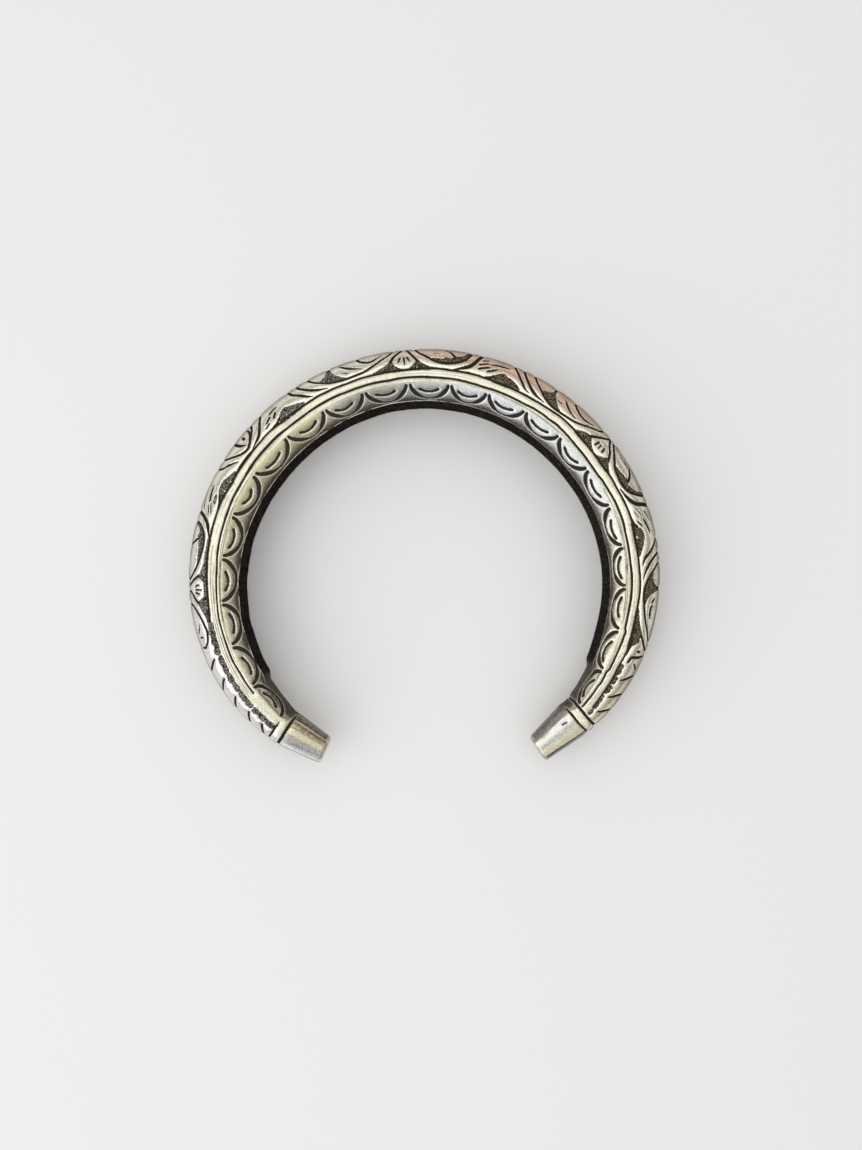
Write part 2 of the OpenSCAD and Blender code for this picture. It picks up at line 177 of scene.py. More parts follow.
# The vine's lines from the left head to the right one, read off the photograph. Each row has a
# line's width, its width at the first and the last point as a share of that, and its points in
# degrees and v. Past v 4.5 or so the photograph shows nothing, and they run on to the middle of
# the outer side, where the other flat side's lines meet them.
LINES = (
    # Left head
    (0.4, 0.8, 1, (197, 3.5), (197.2, 2.5), (196.5, 1.85), (195.5, 1.35), (194.2, 1.1), (193, 1),
     (191.7, 1.2), (190.2, 1.5), (188.7, 2), (187.5, 2.6), (186.5, 3.3), (185.9, 4.2), (185.5, 6),
     (185.4, 8.7)),
    (0.4, 0.9, 0.5, (194.5, 3.2), (194.6, 2.35)),
    (0.34, 0.3, 0.3, (193.6, 3.7), (192.3, 2.9), (191, 2.5)),
    # First bud
    (0.4, 1, 1, (182.4, 8.7), (182.4, 6), (182.8, 4.4), (183.3, 3.6), (184, 3), (185, 2.3), (185.7, 1.75)),
    (0.4, 1, 1, (181.2, 4.6), (180.8, 3.8), (180, 2.9), (179.4, 2.1), (178.9, 1.6)),
    (0.34, 0.9, 0.6, (183.2, 2.25), (183.5, 1.4)),
    (0.3, 0.9, 0.6, (182.45, 2.25), (182.5, 0.95)),
    (0.34, 0.9, 0.6, (181.6, 2.3), (181.2, 1.5)),
    (0.42, 1, 0.8, (180.2, 8.7), (180.1, 6.2), (179.6, 4.6), (179, 3.6), (177.7, 2.6), (176.5, 2),
     (175.2, 1.6), (173.6, 1.3), (171.6, 1.1), (169.8, 1.15), (168.2, 1.4), (167.1, 1.95), (166.2, 2.7),
     (165.7, 3.7), (165.5, 5), (165.4, 8.7)),
    (0.44, 0.5, 0.8, (171.2, 5.8), (170.75, 4.4), (170.1, 3.4), (169.5, 2.6)),
    (0.34, 0.3, 0.6, (175.6, 6), (174.2, 5), (172.4, 4.6), (170.8, 4.5)),
    (0.56, 0.3, 1, (168.6, 0.35), (167.5, 0.6), (166, 1), (164.8, 1.6), (163.9, 2.4), (163.4, 3.3),
     (163, 4.4), (162.8, 6.2), (162.8, 8.7)),
    # First leaf and the line that climbs to its mound
    (0.5, 0.8, 0.7, (159.6, 2.45), (158, 2.9), (156, 3.3)),
    (0.26, 0.7, 0.7, (162.7, 1.7), (160.8, 2.35)),
    (0.26, 0.7, 0.7, (162.5, 1.2), (160.2, 1.9)),
    (0.3, 0.6, 0.6, (162, 3.3), (160.4, 4), (158.6, 4.4)),
    (0.2, 0.7, 0.7, (160, 1.1), (159.4, 1.55), (157.8, 1.7), (158.3, 1.35), (160, 1.1)),
    (0.3, 0.8, 1, (161.5, 0.1), (159.6, 0.3), (158.4, 0.6), (157.5, 0.9)),
    # Volute
    (0.4, 1, 0.4, (152.2, 8.7), (152, 5.5), (151.3, 3.5), (150.3, 2.7), (149, 1.8), (147.7, 1.1)),
    (0.4, 1, 1, (149.5, 8.7), (149.3, 5.8), (148.8, 4.2), (147.8, 2.9), (146.5, 1.85), (145, 1.25),
     (143.5, 1.05), (142.2, 1.4), (140.8, 2), (139.5, 2.85), (138.8, 3.8), (138.5, 5.2), (138.4, 8.7)),
    (0.5, 0.6, 0.4, (144.8, 5.8), (144.5, 4.6), (144.35, 3.5), (143.8, 2.5), (142.9, 1.8)),
    (0.38, 0.6, 0.5, (140.1, 5.2), (139.9, 3.6), (140.5, 2.5), (141.5, 1.9)),
    (0.58, 0.9, 0.9, (142.15, 3.9), (142.05, 3.15)),
    (0.44, 0.3, 1, (142.6, 0.35), (141, 0.65), (139.8, 0.85), (138.5, 1.3), (137.3, 2.2), (136.3, 3.35),
     (135.6, 4.4), (135.2, 6), (135.2, 8.7)),
    # Second leaf and the line to its mound
    (0.42, 0.8, 0.9, (135.3, 1.7), (133.8, 2.25)),
    (0.46, 0.8, 0.9, (132.9, 1.6), (131.9, 2.2)),
    (0.42, 0.7, 0.7, (133.3, 2.8), (132, 3.15), (130.8, 3.3)),
    (0.32, 0.7, 0.7, (136.3, 1), (134.9, 1.3)),
    (0.3, 0.8, 1, (135.6, 0.15), (133.8, 0.35), (132.8, 0.6), (132, 0.9)),
    # Stems up to the back bud
    (0.44, 1, 0.3, (127, 8.7), (126.8, 6.4), (126.2, 4.6), (125.8, 3.4), (125, 2.6), (123.7, 1.7),
     (122.5, 0.95), (121.5, 0.6)),
    (0.44, 1, 0.3, (124.3, 8.7), (124.2, 6.4), (123.7, 4.8), (123.4, 3.8), (122.5, 2.75), (121.3, 1.85),
     (119.8, 1.2), (118.3, 0.85), (116.8, 0.62)),
    (0.36, 1.1, 1.1, (120.8, 8.7), (120.7, 6.4), (120.3, 4.6), (119.9, 3.7), (119.2, 2.9), (118, 2.2),
     (116.5, 1.5), (114.8, 1.08), (113, 0.86), (111, 0.77), (109, 0.75), (107.3, 0.8), (105.7, 1.03),
     (104, 1.47), (102.2, 2.03), (100.5, 2.85), (99.2, 3.6), (98.5, 4.4), (98, 5.4), (97.8, 8.7)),
    (0.3, 1, 1, (115, 8.7), (115, 6.5), (114.9, 4.6)),
    (0.42, 0.4, 0.4, (112, 4.6), (111.4, 3.9), (110.5, 3.1), (109, 2.27), (106.9, 1.65)),
    (0.34, 0.5, 0.6, (111.8, 2.3), (110.6, 1.75)),
    (0.46, 1, 0.4, (107.6, 8.7), (107.5, 6.2), (107.2, 4.7), (106.7, 3.6), (105.7, 2.93), (104.5, 2.65),
     (103.2, 2.85), (102, 3.4), (100.7, 4.05)),
    # Back bud
    (0.44, 1, 1, (95.5, 8.7), (95.5, 6.2), (95.9, 5.1), (96.4, 4.25), (97.2, 3.45), (98.2, 2.6),
     (99, 1.65)),
    (0.4, 1, 1, (94.9, 6), (94.3, 4.8), (93.9, 3.75), (93.2, 2.75), (92.5, 2), (91.9, 1.55)),
    (0.36, 0.9, 0.6, (96.5, 2.3), (97, 1.4)),
    (0.34, 0.9, 0.5, (95.5, 2.35), (95.4, 0.95)),
    (0.36, 0.9, 0.6, (94.7, 2.4), (94.1, 1.5)),
    (0.42, 1, 0.8, (92.9, 8.7), (92.8, 6.4), (92.3, 4.8), (91.5, 3.6), (90.2, 2.75), (89, 2.1), (87.5, 1.5),
     (85.7, 1.23), (84, 1.22), (82.3, 1.43), (81, 1.77), (80, 2.27), (79.1, 3), (78.5, 3.95), (78.2, 5),
     (78.1, 8.7)),
    (0.42, 0.5, 0.8, (85, 6.2), (84.5, 5.2), (83.5, 4.25), (82.5, 3.1), (82.3, 2.8)),
    (0.16, 0.5, 0.5, (88, 3.2), (87.2, 3.6), (86.3, 3.3)),
    (0.16, 0.5, 0.5, (87.6, 2.9), (86.4, 2.85)),
    (0.15, 0.5, 0.5, (79.6, 2.1), (78.3, 2.7)),
    (0.6, 0.3, 1, (82.6, 0.15), (80.8, 0.55), (79, 1), (77.8, 1.5), (76.9, 2.27), (76.4, 3.1), (75.9, 4.1),
     (75.5, 5.6), (75.4, 8.7)),
    # Third leaf and the line to its mound
    (0.4, 0.8, 0.9, (75.6, 2.1), (73.7, 2.8)),
    (0.42, 0.8, 0.9, (75.6, 1.3), (73.2, 2)),
    (0.4, 0.8, 0.9, (75, 3.3), (73.7, 3.9)),
    (0.46, 0.5, 0.4, (73, 2.75), (71.2, 3.2), (69.6, 3.4), (68, 3.5)),
    (0.34, 0.8, 0.8, (73.3, 1.2), (72, 1.65), (70.8, 2.2)),
    (0.3, 0.8, 1, (73.5, 0.15), (72.2, 0.35), (71.2, 0.8)),
    # Stems up to the right bud
    (0.42, 1, 0.3, (67.3, 8.7), (67.2, 6.4), (66.6, 4.6), (66, 3.7), (65, 2.5), (63.7, 1.6), (62.3, 0.87),
     (61, 0.55)),
    (0.44, 1, 0.3, (64.7, 8.7), (64.6, 6.4), (64.1, 4.6), (63.5, 3.4), (62.4, 2.4), (61, 1.5), (59.5, 0.93),
     (58, 0.68), (56.2, 0.53)),
    (0.36, 1.1, 1.1, (61.7, 8.7), (61.6, 6.4), (61.2, 4.8), (60.7, 3.9), (60, 3.1), (58.7, 2.2),
     (57.2, 1.5), (55.5, 1), (53.5, 0.73), (51.2, 0.68), (49, 0.85), (46.5, 1.2), (44.5, 1.85), (42.7, 2.7),
     (41.2, 3.5), (40.3, 4.3), (39.8, 5.6), (39.7, 8.7)),
    (0.3, 1, 1, (55.2, 8.7), (55.2, 6.5), (55.2, 4.6)),
    (0.34, 0.7, 0.7, (53.3, 2.52), (52.1, 2.42)),
    (0.2, 0.5, 0.5, (54, 4), (52.3, 3.8)),
    (0.36, 0.4, 0.5, (52, 3.9), (51.4, 3.4), (50.7, 2.85), (49.2, 2.1), (47.3, 1.75)),
    (0.46, 1, 0.4, (49.4, 8.7), (49.4, 6.2), (49.1, 4.9), (48.2, 3.9), (47, 3.25), (45.5, 2.97), (44, 3.2),
     (42.5, 3.8)),
    # Right bud
    (0.44, 1, 1, (37.1, 8.7), (37.1, 6), (37.5, 4.6), (38.3, 3.6), (39.5, 2.5), (40.8, 1.65)),
    (0.4, 0.8, 1, (36.9, 5.4), (36.6, 4.3), (36, 3.4), (34.7, 2.5), (33.5, 1.65)),
    (0.42, 0.7, 0.7, (38.4, 1.9), (38.55, 1.05)),
    (0.3, 0.7, 0.7, (37.45, 1.9), (37.25, 1.1)),
    (0.42, 0.7, 0.7, (36.25, 1.95), (35.85, 1.25)),
    (0.42, 1, 0.8, (35.7, 8.7), (35.7, 6.2), (35.4, 4.8), (34.5, 3.75), (33, 2.7), (31.5, 1.93), (30, 1.43),
     (28.2, 1.2), (26.5, 1.13), (24.7, 1.3), (23.3, 1.75), (22.4, 2.5), (21.6, 3.5), (21.2, 4.5), (21, 6),
     (21, 8.7)),
    (0.46, 0.6, 0.7, (28.6, 5.4), (28, 4.45), (27, 3.75), (26.1, 2.9), (25.7, 2.5)),
    (0.34, 0.4, 0.7, (32.2, 4.3), (30.2, 4.45), (28.2, 4.6)),
    (0.6, 0.3, 1, (24.9, 0.5), (22.8, 0.78), (21, 1.25), (19.9, 2), (19.4, 3.1), (19, 4.1), (18.7, 5.6),
     (18.6, 8.7)),
    # Fourth leaf and the line to its mound
    (0.46, 0.5, 0.4, (15.6, 2.4), (14, 2.8), (12, 3.1)),
    (0.26, 0.5, 0.6, (18.8, 1.6), (16.6, 2.4)),
    (0.22, 0.5, 0.5, (17.9, 1.15), (16.6, 1.6)),
    (0.4, 0.6, 0.6, (15.3, 1.15), (14, 1.7)),
    (0.28, 0.4, 0.4, (17.7, 3.1), (16.6, 3.6), (15.2, 3.9)),
    (0.3, 0.8, 1, (16.6, 0.15), (15.2, 0.35), (14.1, 0.8)),
    # Stems up to the right head
    (0.42, 1, 0.3, (10.8, 8.7), (10.6, 6.4), (9.8, 4.8), (8.8, 3.75), (7.2, 2.4), (6, 1.45), (4.8, 0.93),
     (3.8, 0.7)),
    (0.42, 1, 0.3, (7.3, 8.7), (7.2, 6.4), (6.6, 4.8), (6, 3.7), (4.9, 2.5), (3.5, 1.7), (2, 1.13),
     (0.2, 0.7)),
    (0.38, 1.1, 1, (4.6, 8.7), (4.5, 6.4), (4, 4.8), (3.4, 3.85), (2.3, 2.85), (1, 2), (-0.5, 1.43),
     (-2.2, 1.02), (-4, 0.93), (-6, 1.1), (-8, 1.35), (-10, 1.77), (-11.7, 2.35), (-13.2, 3.15),
     (-14.5, 3.95), (-15.3, 5), (-15.6, 6.6), (-15.7, 8.7)),
    (0.3, 1, 1, (-2, 8.7), (-2, 6.5), (-2, 4.6)),
    (0.36, 0.6, 0.5, (-4.5, 3.6), (-5.2, 3.15), (-5.9, 2.75)),
    (0.5, 0.6, 0.6, (-6.4, 3.1), (-7.2, 2.75), (-8.4, 2.7), (-9.6, 2.8)),
    (0.48, 1, 0.8, (-18.3, 8.7), (-18.2, 6), (-17.5, 4.3), (-16.6, 3.3), (-15.5, 2.45), (-14.5, 1.85)),
    # Right head
    (0.46, 0.9, 0.6, (-18.55, 2.6), (-18.5, 1.9)),
    (0.46, 0.5, 1, (-19.2, 5), (-19.5, 4.1), (-19.9, 3.1), (-20.3, 1.9), (-20.6, 1.3), (-21.9, 1.05)),
    (0.36, 0.4, 0.5, (-23.3, 4.4), (-22.9, 3.7), (-22.3, 3), (-21.8, 2.4)),
    (0.3, 0.8, 0.8, (-17.3, 0.45), (-18.6, 0.25), (-20.3, 0.1)),
    # Nick in the right terminal
    (0.22, 0.6, 0.6, (-45.2, -1.45), (-46.6, -1.65)),
)

# Ground that is sunk and stippled, as outlines in degrees and v
GROUND = (
    # Beside the first bud
    ((191.4, 0.25), (190, 0.45), (189, 0.78), (187.7, 1.2), (186.5, 1.6), (185.7, 1.85), (185.3, 1.5),
     (184.8, 0.95), (184, 0.43), (183, 0.05), (182.2, -0.15), (187, -0.15), (191.2, -0.1)),
    ((181.6, -0.1), (180.4, 0.5), (179.6, 1.1), (179, 1.7), (178.2, 1.2), (176.6, 0.7), (174.8, 0.35),
     (172.5, 0.1), (175, -0.05)),
    ((176.4, 2), (175, 2), (172.8, 2.05), (171, 2.15), (169.6, 2.55), (168.8, 2.9), (168, 2.6), (167, 2.9),
     (166.4, 3.7), (166.2, 5.2), (165.6, 5.2), (165.7, 3.6), (166.3, 2.6), (167.1, 1.9), (168.3, 1.35),
     (170, 1.1), (172, 1.05), (174, 1.3), (175.5, 1.65)),
    ((191.4, -0.1), (191.2, 0.42), (186, 0.5), (180, 0.42), (174, 0.46), (168.5, 0.34), (166, 0.1),
     (172, -0.08), (181, -0.16)),
    # First two mounds
    ((158.6, 0.35), (157.6, 0.9), (157, 1.27), (156.2, 1.5), (155, 1.62), (154, 1.62), (153, 1.38),
     (152, 1.05), (151, 0.78), (150.3, 0.5), (150.9, 0.1), (152, -0.07), (155, -0.1), (157.1, -0.07),
     (158.2, 0.05)),
    ((132.6, 0.3), (132, 0.78), (131.2, 1.27), (130.2, 1.72), (129.4, 1.93), (128.7, 1.72), (127.5, 1.37),
     (126.2, 1.02), (125, 0.7), (124.1, 0.45), (125.2, 0.1), (126.3, -0.15), (129, -0.17), (132.1, -0.13)),
    # Between the stems, before the back bud
    ((117.9, 2.5), (117.3, 2.68), (116.5, 2.9), (115.9, 3.3), (115.5, 4.1), (115.3, 5.3), (114.7, 5.3),
     (114.4, 4.2), (114.2, 3.25), (113.7, 2.35), (112.9, 1.72), (112, 1.3), (111.2, 0.9), (112.4, 0.85),
     (113.6, 0.95), (115, 1.2), (116.5, 1.65)),
    # Beside the back bud
    ((104.1, 0.1), (102.7, 0.42), (101.2, 0.8), (100, 1.25), (99, 1.72), (98.5, 1.35), (98, 0.78),
     (97, 0.35), (95.9, 0.07), (95, -0.12), (99, -0.15), (103.4, -0.1)),
    ((94.6, -0.1), (93.9, 0.25), (93.2, 0.7), (92.6, 1.25), (91.9, 1.7), (91, 1.15), (89.8, 0.67),
     (88.5, 0.35), (87, 0.18), (88.5, -0.08), (91.5, -0.15)),
    ((89, 2.1), (87.7, 2.12), (86, 2.08), (84.9, 2.15), (84.3, 2.55), (83.6, 2.4), (82.9, 2.45),
     (82.2, 2.9), (81, 3.25), (80.1, 3.6), (79.5, 4.6), (79.3, 5.6), (78.5, 5.6), (78.6, 4), (79.2, 3),
     (80.1, 2.2), (81.1, 1.7), (82.5, 1.35), (84.2, 1.15), (86, 1.2), (87.7, 1.5)),
    # Third mound
    ((72.1, 0.1), (71.6, 0.5), (71, 0.93), (70, 1.37), (68.8, 1.78), (68.1, 1.45), (67, 1.28), (65.5, 0.95),
     (64.5, 0.6), (63.5, 0.15), (65, -0.2), (68.5, -0.33), (71.2, -0.25)),
    # Between the stems, before the right bud
    ((57.8, 2.4), (57, 2.7), (56.2, 3), (55.6, 3.65), (55.3, 4.8), (55, 4.8), (54.8, 3.5), (54, 2.45),
     (53, 1.6), (51.6, 1), (50.2, 0.72), (52.2, 0.7), (54, 0.8), (56, 1.2), (57.4, 1.75)),
    # Beside the right bud
    ((44.8, 0.2), (43.8, 0.75), (42.5, 1.22), (41.3, 1.55), (40.7, 1.75), (40.3, 1.15), (39.3, 0.6),
     (38.2, 0.2), (37.3, -0.08), (40, -0.15), (44.2, -0.12)),
    ((36.7, -0.1), (35.6, 0.27), (34.3, 0.88), (33.4, 1.7), (32.3, 0.9), (31, 0.4), (29.7, -0.05),
     (33, -0.13)),
    ((31.6, 2), (30.6, 2), (29.5, 2.03), (28.2, 2.27), (27, 2.5), (26.2, 2.65), (25.7, 2.3), (25.2, 2.25),
     (24.2, 2.55), (23.3, 2.95), (22.6, 3.5), (22.2, 4.4), (22, 5.6), (21.3, 5.6), (21.5, 4), (22.2, 2.7),
     (23.2, 1.75), (24.7, 1.25), (26.5, 1.05), (28.3, 1.1), (30, 1.4)),
    # Fourth mound
    ((15.4, 0.15), (14.4, 0.55), (13.6, 1.15), (12.6, 1.6), (11.5, 1.68), (10.3, 1.42), (9.2, 1.22),
     (8.2, 0.87), (7, 0.5), (6.2, 0.15), (7.2, -0.1), (10, -0.17), (14.6, -0.12)),
    # Between the stems, before the right head
    ((1.8, 2.9), (0.5, 2.95), (-0.6, 3.15), (-1.4, 3.95), (-1.6, 5.2), (-2.4, 5.2), (-2.6, 4.1),
     (-3.2, 3.1), (-3.8, 2.3), (-5, 1.7), (-6.6, 1.25), (-5, 0.98), (-3, 0.98), (-1.2, 1.35), (0.5, 2)),
    # Before the right head
    ((-7.3, 0.05), (-8, 0.3), (-9.7, 0.52), (-11.5, 0.87), (-12.8, 1.28), (-13.8, 1.72), (-14.5, 2),
     (-15.2, 1.6), (-16.2, 1.75), (-16.8, 1.2), (-17.5, 0.62), (-18.6, 0.25), (-18.2, -0.1), (-13, -0.17),
     (-9, -0.15)),
)
# Small bright spots that were left standing in the ground: degrees, v and radius
ISLANDS = ((155.9, 0.35, 0.14), (153.0, 0.3, 0.12), (92.2, 0.25, 0.14), (11.4, 0.35, 0.2),
           (129.9, 0.55, 0.14))

# The scales between each head and its collar: the lower end of each rib's cut, and the cut's
# run from there towards the middle of the outer side
SCALES = ((221.5, 1.0), (216.9, 1.15), (211.75, 1.35), (206.2, 1.2), (200.6, 1.3),
          (-27.15, 1.45), (-32.5, 1.2), (-37.25, 1.2))
SCALE_RUN = ((0.0, 0.0), (0.75, 0.8), (1.6, 1.75), (2.2, 2.8), (2.5, 4.4))
SCALE_CUT_W = 0.50

# The lobes of the ragged ground beside the band at both ends, each from one angle to another
LOBES_LEFT = ((224.3, 221.2), (221.4, 218.8), (218.9, 216.7), (216.5, 213.8), (214.3, 212.4),
              (212.9, 211.3), (211.0, 208.4), (208.6, 205.5), (205.4, 203.0), (203.2, 200.2),
              (199.9, 197.2), (197.5, 194.0), (195.4, 191.0))
LOBES_RIGHT = ((-23.3, -24.9), (-24.7, -26.5), (-26.7, -28.2), (-27.9, -29.2), (-29.6, -30.9),
               (-30.6, -32.1), (-32.7, -33.4), (-33.7, -35.6), (-35.3, -37.2), (-37.5, -39.4))

# The chased lines beside the band: width, strength, and points in degrees and v
BAND_LINES = (
    (0.3, 1, (191, 0.05), (180, 0), (172, 0.1), (165, 0.1)),
    (0.32, 1, (172, 0.12), (161, 0.1), (148, 0.12), (139, 0.18), (133.5, 0.15), (124, 0.1), (110, 0),
     (104, -0.03), (96, 0), (88, 0.16), (82, 0.12), (76, 0.13), (70, -0.1), (63.5, -0.1), (57, 0.02),
     (50, 0.18), (44, 0.1), (37, -0.05), (30, 0), (24, 0.1), (20, 0.18), (16, 0.1), (6, 0.02), (-2, 0.17),
     (-8, 0.02), (-18.5, 0.08), (-21, -0.03), (-32, -0.1), (-37, -0.05)),
    (0.34, 1, (213.6, -1.5), (204, -1.55), (194, -1.48), (181.5, -1.48), (176.5, -1.55), (168, -1.38),
     (160, -1.4), (154.5, -1.3), (149.5, -1.23), (144.5, -1.15), (136, -1.22), (127.5, -1.27), (120, -1.2),
     (112, -1.22), (104, -1.3), (100, -1.36), (96, -1.27), (87, -1.3), (80, -1.27), (75, -1.36),
     (71, -1.47), (66, -1.4), (61, -1.37), (58.5, -1.27), (54.8, -1.16), (52.5, -1.27), (49.8, -1.15),
     (46, -1.3), (40, -1.43), (31.5, -1.48), (26.5, -1.3), (22.7, -1.2), (16.5, -1.27), (8.2, -1.37),
     (2, -1.2), (-3, -1.15), (-8, -1.23), (-13, -1.25), (-14.5, -1.05), (-16.8, -1.15), (-21, -1.27),
     (-25.5, -1.15), (-27, -1.38), (-30, -1.28), (-32.3, -1.43), (-38.8, -1.38)),
    # Where both were gone over twice
    (0.48, 1, (150.5, 0.18), (148, 0.2), (145.5, 0.22), (143, 0.2)),
    (0.46, 1, (149.5, -1.22), (147, -1.17), (144.5, -1.13), (140.5, -1.15), (136.5, -1.2), (133, -1.24)),
)
# Fine lines that run along the band: from one angle to another, v and strength
SCRATCHES = (
    (214, 150, -0.62, 0.46), (213, 176, -0.98, 0.46), (207, 145, -1.92, 0.48),
    (200, 158, -2.14, 0.48), (140, 118, -0.6, 0.36), (100, 72, -0.66, 0.36), (66, 44, -1.78, 0.48),
    (46, 18, -0.7, 0.26), (27, -21, -1.82, 0.48), (20, -12, -2.08, 0.48), (8, -22, -0.62, 0.34),
    (-18, -38, -0.75, 0.36),
)
SCRATCH_W = 0.20
# The rings that part the collars from the hoop and the terminals: width, the share of it that is
# left at the wrist side, and points
RINGS = (
    (0.5, 0.5, (227.9, 8.7), (227.9, 1.6), (227.6, 0.1), (227.1, -1.4), (226.75, -2.7), (226.5, -4.9)),
    (0.34, 0.15, (225.1, 8.7), (225, 1.6), (224.65, 0.1), (224.4, -1.3)),
    (0.44, 0.5, (-40.6, 8.7), (-40.5, 2.2), (-40.25, 0.6), (-39.75, -1.1), (-39.5, -2.4), (-39.25, -4.2),
     (-39.2, -9.5)),
    (0.36, 0.5, (-43.1, 8.7), (-43.1, 1.4), (-42.9, -0.2), (-42.6, -1.6), (-42.4, -3), (-42.3, -4.1)),
)
RING_DEPTH = 1.3


def smooth(t):
    """0 up to t = 0, 1 from t = 1 on, and an easy slope between."""
    u = np.clip(t, 0, 1)
    return u * u * (3 - 2 * u)


def mix(a, b, t):
    """a at t = 0 and b at t = 1."""
    return a + (b - a) * t


def curve(col, a):
    """Cubic curve through a column of SECTIONS, read at angles a."""
    x, y = SECTIONS[:, 0], SECTIONS[:, col]
    last = len(x) - 1
    low = np.maximum(np.arange(last + 1) - 1, 0)
    high = np.minimum(np.arange(last + 1) + 1, last)
    slope = (y[high] - y[low]) / (x[high] - x[low])
    i = np.clip(np.searchsorted(x, a, side="right") - 1, 0, last - 1)
    run = x[i + 1] - x[i]
    t = (a - x[i]) / run
    t2, t3 = t * t, t * t * t
    return (
        (2 * t3 - 3 * t2 + 1) * y[i]
        + (3 * t2 - 2 * t3) * y[i + 1]
        + run * ((t3 - 2 * t2 + t) * slope[i] + (t3 - t2) * slope[i + 1])
    )


def from_ring(a):
    """How far angle a is from the nearer terminal's ring, above 0 in the hoop."""
    return np.minimum(a - RIGHT["ring"], LEFT["ring"] - a)


def share(a):
    """The share of its full height that the hoop has at a."""
    return mix(END_SHARE, 1, smooth(from_ring(a) / TAPER_A))


def rounded(a):
    """1 near the terminals, where the inner edge is rounded, and 0 round the rest."""
    return smooth((WALL_END_A - from_ring(a)) / WALL_BLEND_A)


def top_z(a):
    """How high the border band's crest is above the hoop's middle plane."""
    return HOOP_H / 2 * share(a)


def inner_r(a):
    return WRIST_R + curve(SHIFT, a)


def outer_r(a):
    return inner_r(a) + curve(WIDE, a)


def band_r(a):
    return inner_r(a) + curve(BAND, a)


def hoop_profiles(a):
    """The upper half of the hoop's plain section at each angle: radius, height and v, from the
    middle of the outside over the top to the middle of the wrist side."""
    fine = 240
    a = a[:, None]
    foot, wide = band_r(a) + LINE_W, outer_r(a) - band_r(a) - LINE_W
    bevel, edge = band_r(a) - BAND_W - LINE_W, inner_r(a) + ROUND_OUT * rounded(a)
    high = top_z(a)
    drop = share(a) * (EDGE_DROP + ROUND_DOWN * rounded(a))
    up = np.radians(np.linspace(0, 90, fine))[None]
    x = np.linspace(0, 1, fine)[None]
    flat = mix(foot, bevel, x)
    r = np.hstack([foot + wide * np.cos(up), flat, mix(bevel, edge, x), mix(edge, inner_r(a), x)])
    z = np.hstack([high * np.sin(up), high + 0 * flat, high - drop * x * x, (high - drop) * (1 - x)])
    run = np.cumsum(np.hypot(np.diff(r, axis=1), np.diff(z, axis=1)), axis=1)
    run = np.hstack([0 * a, run])
    at_band = run[:, fine - 1 : fine] + LINE_W
    return r, z, at_band - run, 3 * fine - 1


def hoop_grid(a):
    """The hoop's half sections at each angle, on the grid's rows: radius, height and v."""
    r, z, v, edge = hoop_profiles(a)
    at = np.concatenate([
        np.linspace(v[:, 0], 0, FIELD_ROWS, endpoint=False, axis=1),
        np.linspace(0, v[:, edge], TOP_ROWS, endpoint=False, axis=1),
        np.linspace(v[:, edge], v[:, -1], WALL_ROWS + 1, axis=1),
    ], axis=1)
    on_rows = lambda u: np.array([np.interp(*row) for row in zip(at, v[:, ::-1], u[:, ::-1])])
    return on_rows(r), on_rows(z), at


def faceted(corners, f, wide, high):
    """Points at the shares f of the way round the upper half of a faceted section."""
    corners = np.array(corners) * (wide, high)
    run = np.concatenate([[0], np.cumsum(np.hypot(*np.diff(corners, axis=0).T))])
    at = f * run[-1]
    return np.interp(at, run, corners[:, 0]), np.interp(at, run, corners[:, 1])


def placed(r, a, z, across=0.0):
    """The point at radius r and angle a, moved by across along the hoop."""
    turn = np.radians(a)
    return np.stack([
        r * np.cos(turn) - across * np.sin(turn),
        r * np.sin(turn) + across * np.cos(turn),
        z,
    ], axis=-1)


def terminal_grid(a, end, f):
    """Half sections of a straight, tapering terminal at the angles a beyond its ring."""
    ring, tip = end["ring"], end["tip"]
    turn = np.sign(tip - ring)
    lean = math.radians(end["lean"])
    ring_a = np.array([ring])
    ring_r = float((inner_r(ring_a) + outer_r(ring_a))[0] / 2)
    corners = end["facets"]
    x, z = faceted(corners, f, float(curve(WIDE, ring_a)[0]), 2 * float(top_z(ring_a)[0]))
    start = placed(ring_r + x, ring, z)
    full, less = tip - turn * TIP_BEVEL_A, 2 * TIP_BEVEL
    x, z = faceted(corners, f, TIP_W, TIP_H)
    stop = placed(end["tip_r"] + x * math.cos(lean), full, z, x * math.sin(lean))
    x, z = faceted(corners, f, TIP_W - less, TIP_H - less)
    face = placed(end["tip_r"] + x * math.cos(lean), tip, z, x * math.sin(lean))
    along = ((a - ring) / (full - ring))[:, None, None]
    past = np.clip((a - full) / (tip - full), 0, 1)[:, None, None]
    return mix(mix(start, stop, np.minimum(along, 1)), face, past)


def softened(p, axis, passes, keep):
    """Points p smoothed along an axis. keep is 1 where a point stays and 0 where it is smoothed."""
    for _ in range(passes):
        after, before = np.roll(p, -1, axis), np.roll(p, 1, axis)
        p = mix((before + 2 * p + after) / 4, p, keep[..., None])
    return p


